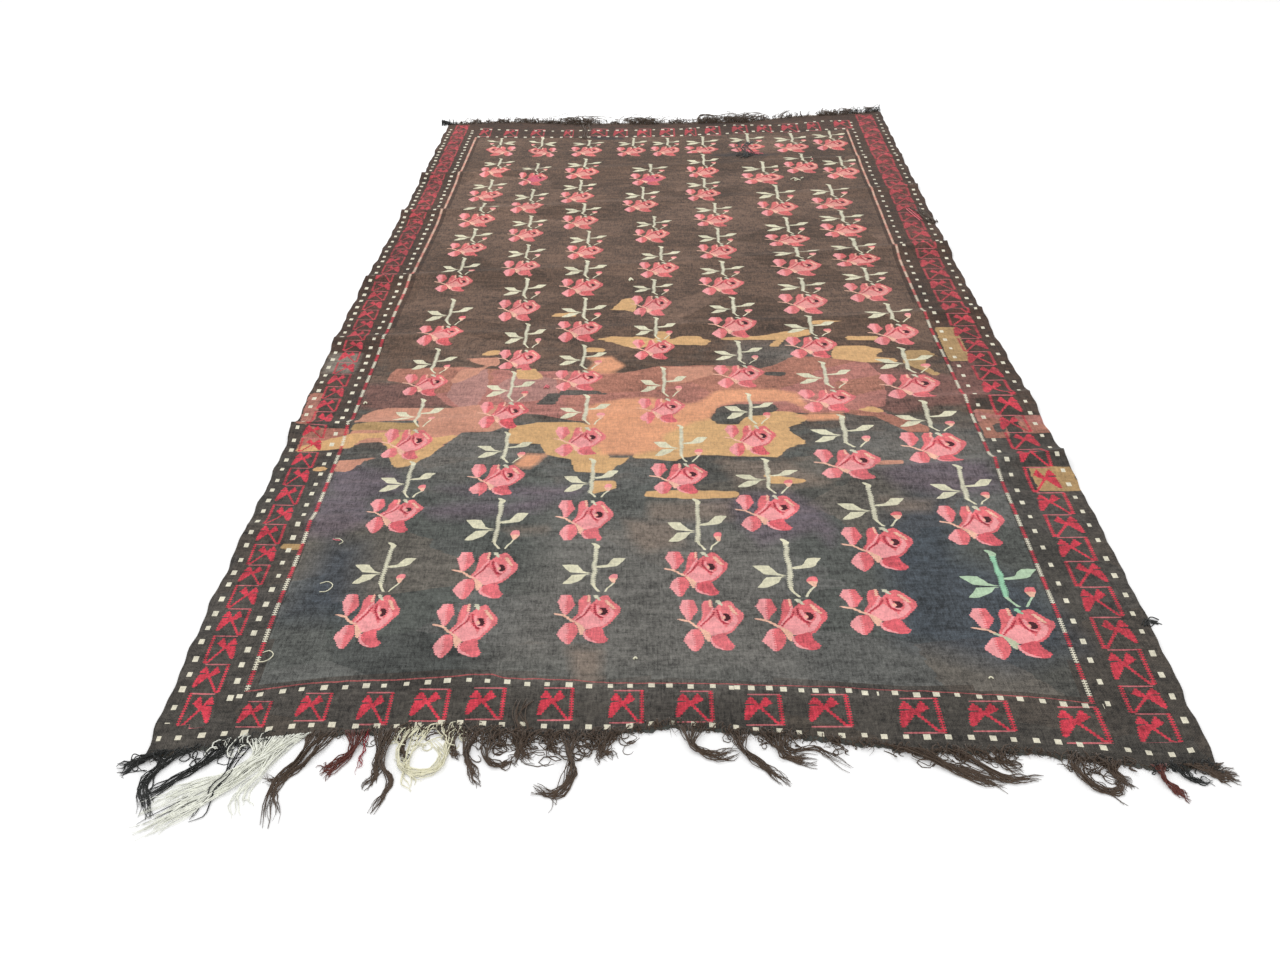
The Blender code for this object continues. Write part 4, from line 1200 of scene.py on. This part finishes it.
def finishYarn(yarn, wool):
    yarn.data.materials.clear()
    for material in spinYarn(wool):
        yarn.data.materials.append(material)
    bpy.ops.object.select_all(action="DESELECT")
    yarn.select_set(True)
    bpy.context.view_layer.objects.active = yarn
    bpy.ops.object.transform_apply(location=True, rotation=True, scale=True)
    bpy.ops.object.convert(target="MESH")
    bpy.ops.object.mode_set(mode="EDIT")
    bpy.ops.mesh.select_all(action="SELECT")
    bpy.ops.mesh.remove_doubles(threshold=0.000001)
    bpy.ops.object.mode_set(mode="OBJECT")
    ontoFloor(yarn)
    intoFrame(yarn)
    return yarn


def layLock(yarn, end, radius, strands, rootStart, rootStop, line, spread):
    steps = fringe["steps"]
    along = np.linspace(0.0, 1.0, steps)
    waist = min(0.22 * (rootStop - rootStart), 1.4)
    for number in range(strands):
        share = (number + random.random()) / strands
        rootX = (rootStart + (rootStop - rootStart) * share) / 100
        corners = [np.array([rootX, endY(end, rootX)])]
        # strands differ in length, and the lock narrows to its waist and opens towards its tip
        reach = 1.08 - 0.62 * random.random() ** 1.6
        before = np.array([(rootStart + rootStop) / 200, corners[0][1]])
        for index, corner in enumerate(line):
            part = index / max(len(line) - 1, 1)
            place = np.array(corner) / 100
            heading = place - before
            heading /= np.linalg.norm(heading)
            sideways = np.array([-heading[1], heading[0]])
            width = (waist + (spread - waist) * part) / 100
            if index == len(line) - 1:
                place = before + (place - before) * reach
            corners.append(place - sideways * width * (0.5 - share) * (1 if end == "front" else -1))
            before = np.array(corner) / 100
        flat = smoothLine(corners, steps)
        angle, turns = random.uniform(0, 6.28), random.uniform(2.0, 8.0)
        curl = (0.0012 + 0.0058 * along) * random.uniform(0.3, 1.3) * np.sin(angle + turns * along * 2)
        curl += 0.0015 * np.sin(angle * 3 + along * 23)
        ahead = np.gradient(flat, axis=0)
        ahead /= np.linalg.norm(ahead, axis=1)[:, None] + 1e-9
        flat += np.c_[-ahead[:, 1], ahead[:, 0]] * curl[:, None] * np.minimum(along * 5, 1)[:, None]
        pile = 0.0022 + random.random() * 0.006 * np.sin(np.minimum(along * 1.6, 1) * math.pi)
        height = radius + pile * (1 + 0.6 * np.sin(angle + turns * along)) * (1 - 0.75 * along)
        size = radius * random.uniform(0.6, 1.3)
        radii = size * np.clip((1.12 - along) * 2.6, 0.2, 1.0)
        addStrand(yarn, np.c_[flat, np.maximum(height, radii)], radii, random.choice((0, 0, 1, 1, 2)))


def restingHeight(flat):
    # the floor, or the raised cloth where a strand lies over it
    x, y = flat[:, 0], flat[:, 1]
    (front, back), (left, right) = endsAt(x), sidesAt(y)
    inside = (y > front) & (y < back) & (x > left) & (x < right)
    return np.where(inside, riseAt(x, y) + cloth["thickness"], 0.0)


def layTangle(yarn, end, radius, strands, startX, stopX, out, inward):
    shape = fringe["tangle"][end]
    low, high = endSpan(end)
    along = np.linspace(0.0, 1.0, 14)
    for number in range(strands):
        rootX = random.uniform(startX, stopX) / 100
        reach = out / 100 * (0.28 + 0.95 * random.random() ** shape["shortness"])
        drift = random.gauss(0.0, 0.8) * reach
        angle, turn = random.uniform(0, 6.28), random.uniform(6.0, 15.0)
        loop = max(reach, 0.012) * random.uniform(0.12, 0.36)
        x = rootX + drift * along + loop * (np.sin(angle + turn * along) - math.sin(angle))
        x = np.clip(x, low - 0.03, high + 0.006)
        away = reach * np.sin(along * random.uniform(1.5, 2.9))
        away -= inward / 100 * random.random() * (1 - along)
        away += 0.6 * loop * np.cos(angle + turn * along)
        away = shape["outward"] * np.maximum(away, -inward / 100 - 0.002)
        flat = np.c_[x, tableAt(cloth[end + "End"], x, 1) + away]
        arch = np.sin(np.minimum(along * 1.5, 1.0) * math.pi) * (1 + 0.5 * np.sin(turn * along))
        pile = random.uniform(0.002, shape["pile"]) * arch
        radii = radius * random.uniform(0.6, 1.15) * np.clip((1.12 - along) * 3, 0.25, 1.0)
        height = np.minimum(restingHeight(flat) + radii + pile, fringe["tangle"]["highest"])
        addStrand(yarn, np.c_[flat, height], radii, random.choice((0, 0, 1, 1, 2)))


def scatterThreads():
    pieces = []
    for wool in sorted({thread[0] for thread in looseThreads}):
        yarn = newYarn("loose" + wool[0].upper() + wool[1:] + "Threads", 1)
        threads = [thread[1:] for thread in looseThreads if thread[0] == wool]
        for strands, route, wander, radius in threads:
            for number in range(strands):
                shift = np.array([random.uniform(-1, 1), random.uniform(-1, 1)]) * wander / 100
                corners = [onCloth(*place) + shift + np.array([random.gauss(0, wander / 300), 0.0])
                           for place in route]
                flat = smoothLine(corners, 12)
                radii = np.full(12, radius) * random.uniform(0.7, 1.1)
                arch = random.uniform(0.0, 0.004) * np.sin(np.linspace(0.0, math.pi, 12))
                height = restingHeight(flat) + radii * 0.8 + arch
                addStrand(yarn, np.c_[flat, height], radii, random.choice((0, 1, 2)))
        piece = finishYarn(yarn, wool)
        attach(piece, "root")
        "fringe_cotton" if wool == "cream" else "fringe_wool"
        pieces.append(piece)
    return pieces


def layFuzz(yarn, end):
    # short curly ends along the whole bound edge
    startX, stopX = endSpan(end)
    for number in range(int(fringe["fuzzPerMetre"] * (stopX - startX))):
        x = random.uniform(startX + 0.003, stopX - 0.003)
        length = random.uniform(*fringe["fuzzLength"]) * (1.4 if random.random() < 0.12 else 1.0)
        lean = random.gauss(0.0, 0.75)
        along = np.linspace(0.0, 1.0, 6)
        curl = random.uniform(-1.0, 1.0)
        away = 0.001 + length * math.cos(lean) * along * (1 - 0.2 * along)
        flat = np.c_[x + length * (math.sin(lean) * along + 0.35 * curl * np.sin(along * 4)),
                     endY(end, x) + fringe["tangle"][end]["outward"] * away]
        height = 0.0018 + random.random() * 0.004 * np.sin(along * 3.0)
        radii = fringe["fuzzRadius"] * random.uniform(0.7, 1.9) * (1.15 - along)
        addStrand(yarn, np.c_[flat, height], radii, random.choice((0, 1, 1, 2)))


def bindEnd(end):
    # the narrow matted band that holds the loose ends
    band, across, out = newGrid(end + "Band", 420, 4)
    x = edgeX(endY(end, 0.0), across)
    ragged = 1.0 + 0.35 * np.sin(x * 83.0) + 0.3 * np.sin(x * 191.0 + 1.0) + 0.2 * np.sin(x * 417.0)
    reach = out if end == "back" else 1 - out
    away = 0.0004 + fringe["webWidth"] * reach * np.where(reach > 0.9, ragged, 1.0)
    y = tableAt(cloth[end + "End"], x, 1) + fringe["tangle"][end]["outward"] * away
    height = 0.0006 * (1 + np.sin(x * 260.0) * np.sin(reach * 9.0)) * (reach > 0.1)
    thicken(band, x, y, height, fringe["webThickness"], 60)
    intoFrame(band)
    band.data.materials.clear()
    band.data.materials.append(spinYarn("black" if end == "front" else "brown")[2])
    return band


def dressEnd(end):
    pieces = [bindEnd(end)]
    for wool in sorted({lock[0] for lock in fringe[end]}):
        yarn = newYarn(end + wool[0].upper() + wool[1:] + "Yarn", 1)
        radius = fringe["cottonRadius" if wool in ("cotton", "cream") else "woolRadius"]
        for layStrands, rows in ((layTangle, fringe[end + "Tangles"]), (layLock, fringe[end])):
            for row in rows:
                if row[0] == wool:
                    layStrands(yarn, end, radius, *row[1:])
        pieces.append(finishYarn(yarn, wool))
    fuzz = newYarn(end + "Fuzz", 0)
    layFuzz(fuzz, end)
    pieces.append(finishYarn(fuzz, "brown"))
    for piece in pieces:
        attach(piece, "root")
        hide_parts("fringe_" + end)
    return pieces


studio = {
    "floorSize": 40.0, "floorColour": (0.95, 0.95, 0.95, 1.0), "floorRoughness": 0.9,
    "sky": (1.0, 1.0, 1.0, 1.0), "skyStrength": 1.0,
    "lampPlace": (-1.6, 2.6, 3.6), "lampTurn": (-32, -20), "lampSize": 3.0, "lampPower": 80.0,
}


def placeView():
    place = (view["x"] + shiftX, view["y"] + shiftY, view["height"])
    bpy.ops.object.camera_add(location=place, rotation=(math.radians(90 - view["below"]), 0, 0))
    camera = bpy.context.object
    camera.name = "viewCamera"
    camera.data.lens = view["lens"]
    camera.data.sensor_width = 36.0
    camera.data.clip_end = 100.0
    bpy.context.scene.camera = camera


def lightStudio():
    bpy.ops.mesh.primitive_plane_add(size=studio["floorSize"], location=(0, 0, 0))
    floor = bpy.context.object
    floor.name = "paleFloor"
    material = bpy.data.materials.new("paleFloor")
    material.use_nodes = True
    shader = material.node_tree.nodes["Principled BSDF"]
    shader.inputs["Base Color"].default_value = studio["floorColour"]
    shader.inputs["Roughness"].default_value = studio["floorRoughness"]
    floor.data.materials.append(material)
    world = bpy.data.worlds.new("softLight")
    world.use_nodes = True
    world.node_tree.nodes["Background"].inputs["Color"].default_value = studio["sky"]
    world.node_tree.nodes["Background"].inputs["Strength"].default_value = studio["skyStrength"]
    bpy.context.scene.world = world
    turnX, turnY = map(math.radians, studio["lampTurn"])
    bpy.ops.object.light_add(type="AREA", location=studio["lampPlace"], rotation=(turnX, turnY, 0))
    lamp = bpy.context.object
    lamp.name = "softBox"
    lamp.data.shape = "RECTANGLE"
    lamp.data.size = studio["lampSize"]
    lamp.data.size_y = studio["lampSize"]
    lamp.data.energy = studio["lampPower"]
    bpy.context.scene.view_settings.view_transform = "Standard"


print("Camera, floor and light")
placeView()
lightStudio()

print("Cloth")
rug = layCloth()
inField = chartCloth(rug)
intoFrame(rug)
dyeCloth(rug, inField)
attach(rug, "root")
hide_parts("kilim_cloth")

print("Fringes")
loose = dressEnd("front") + dressEnd("back") + scatterThreads()
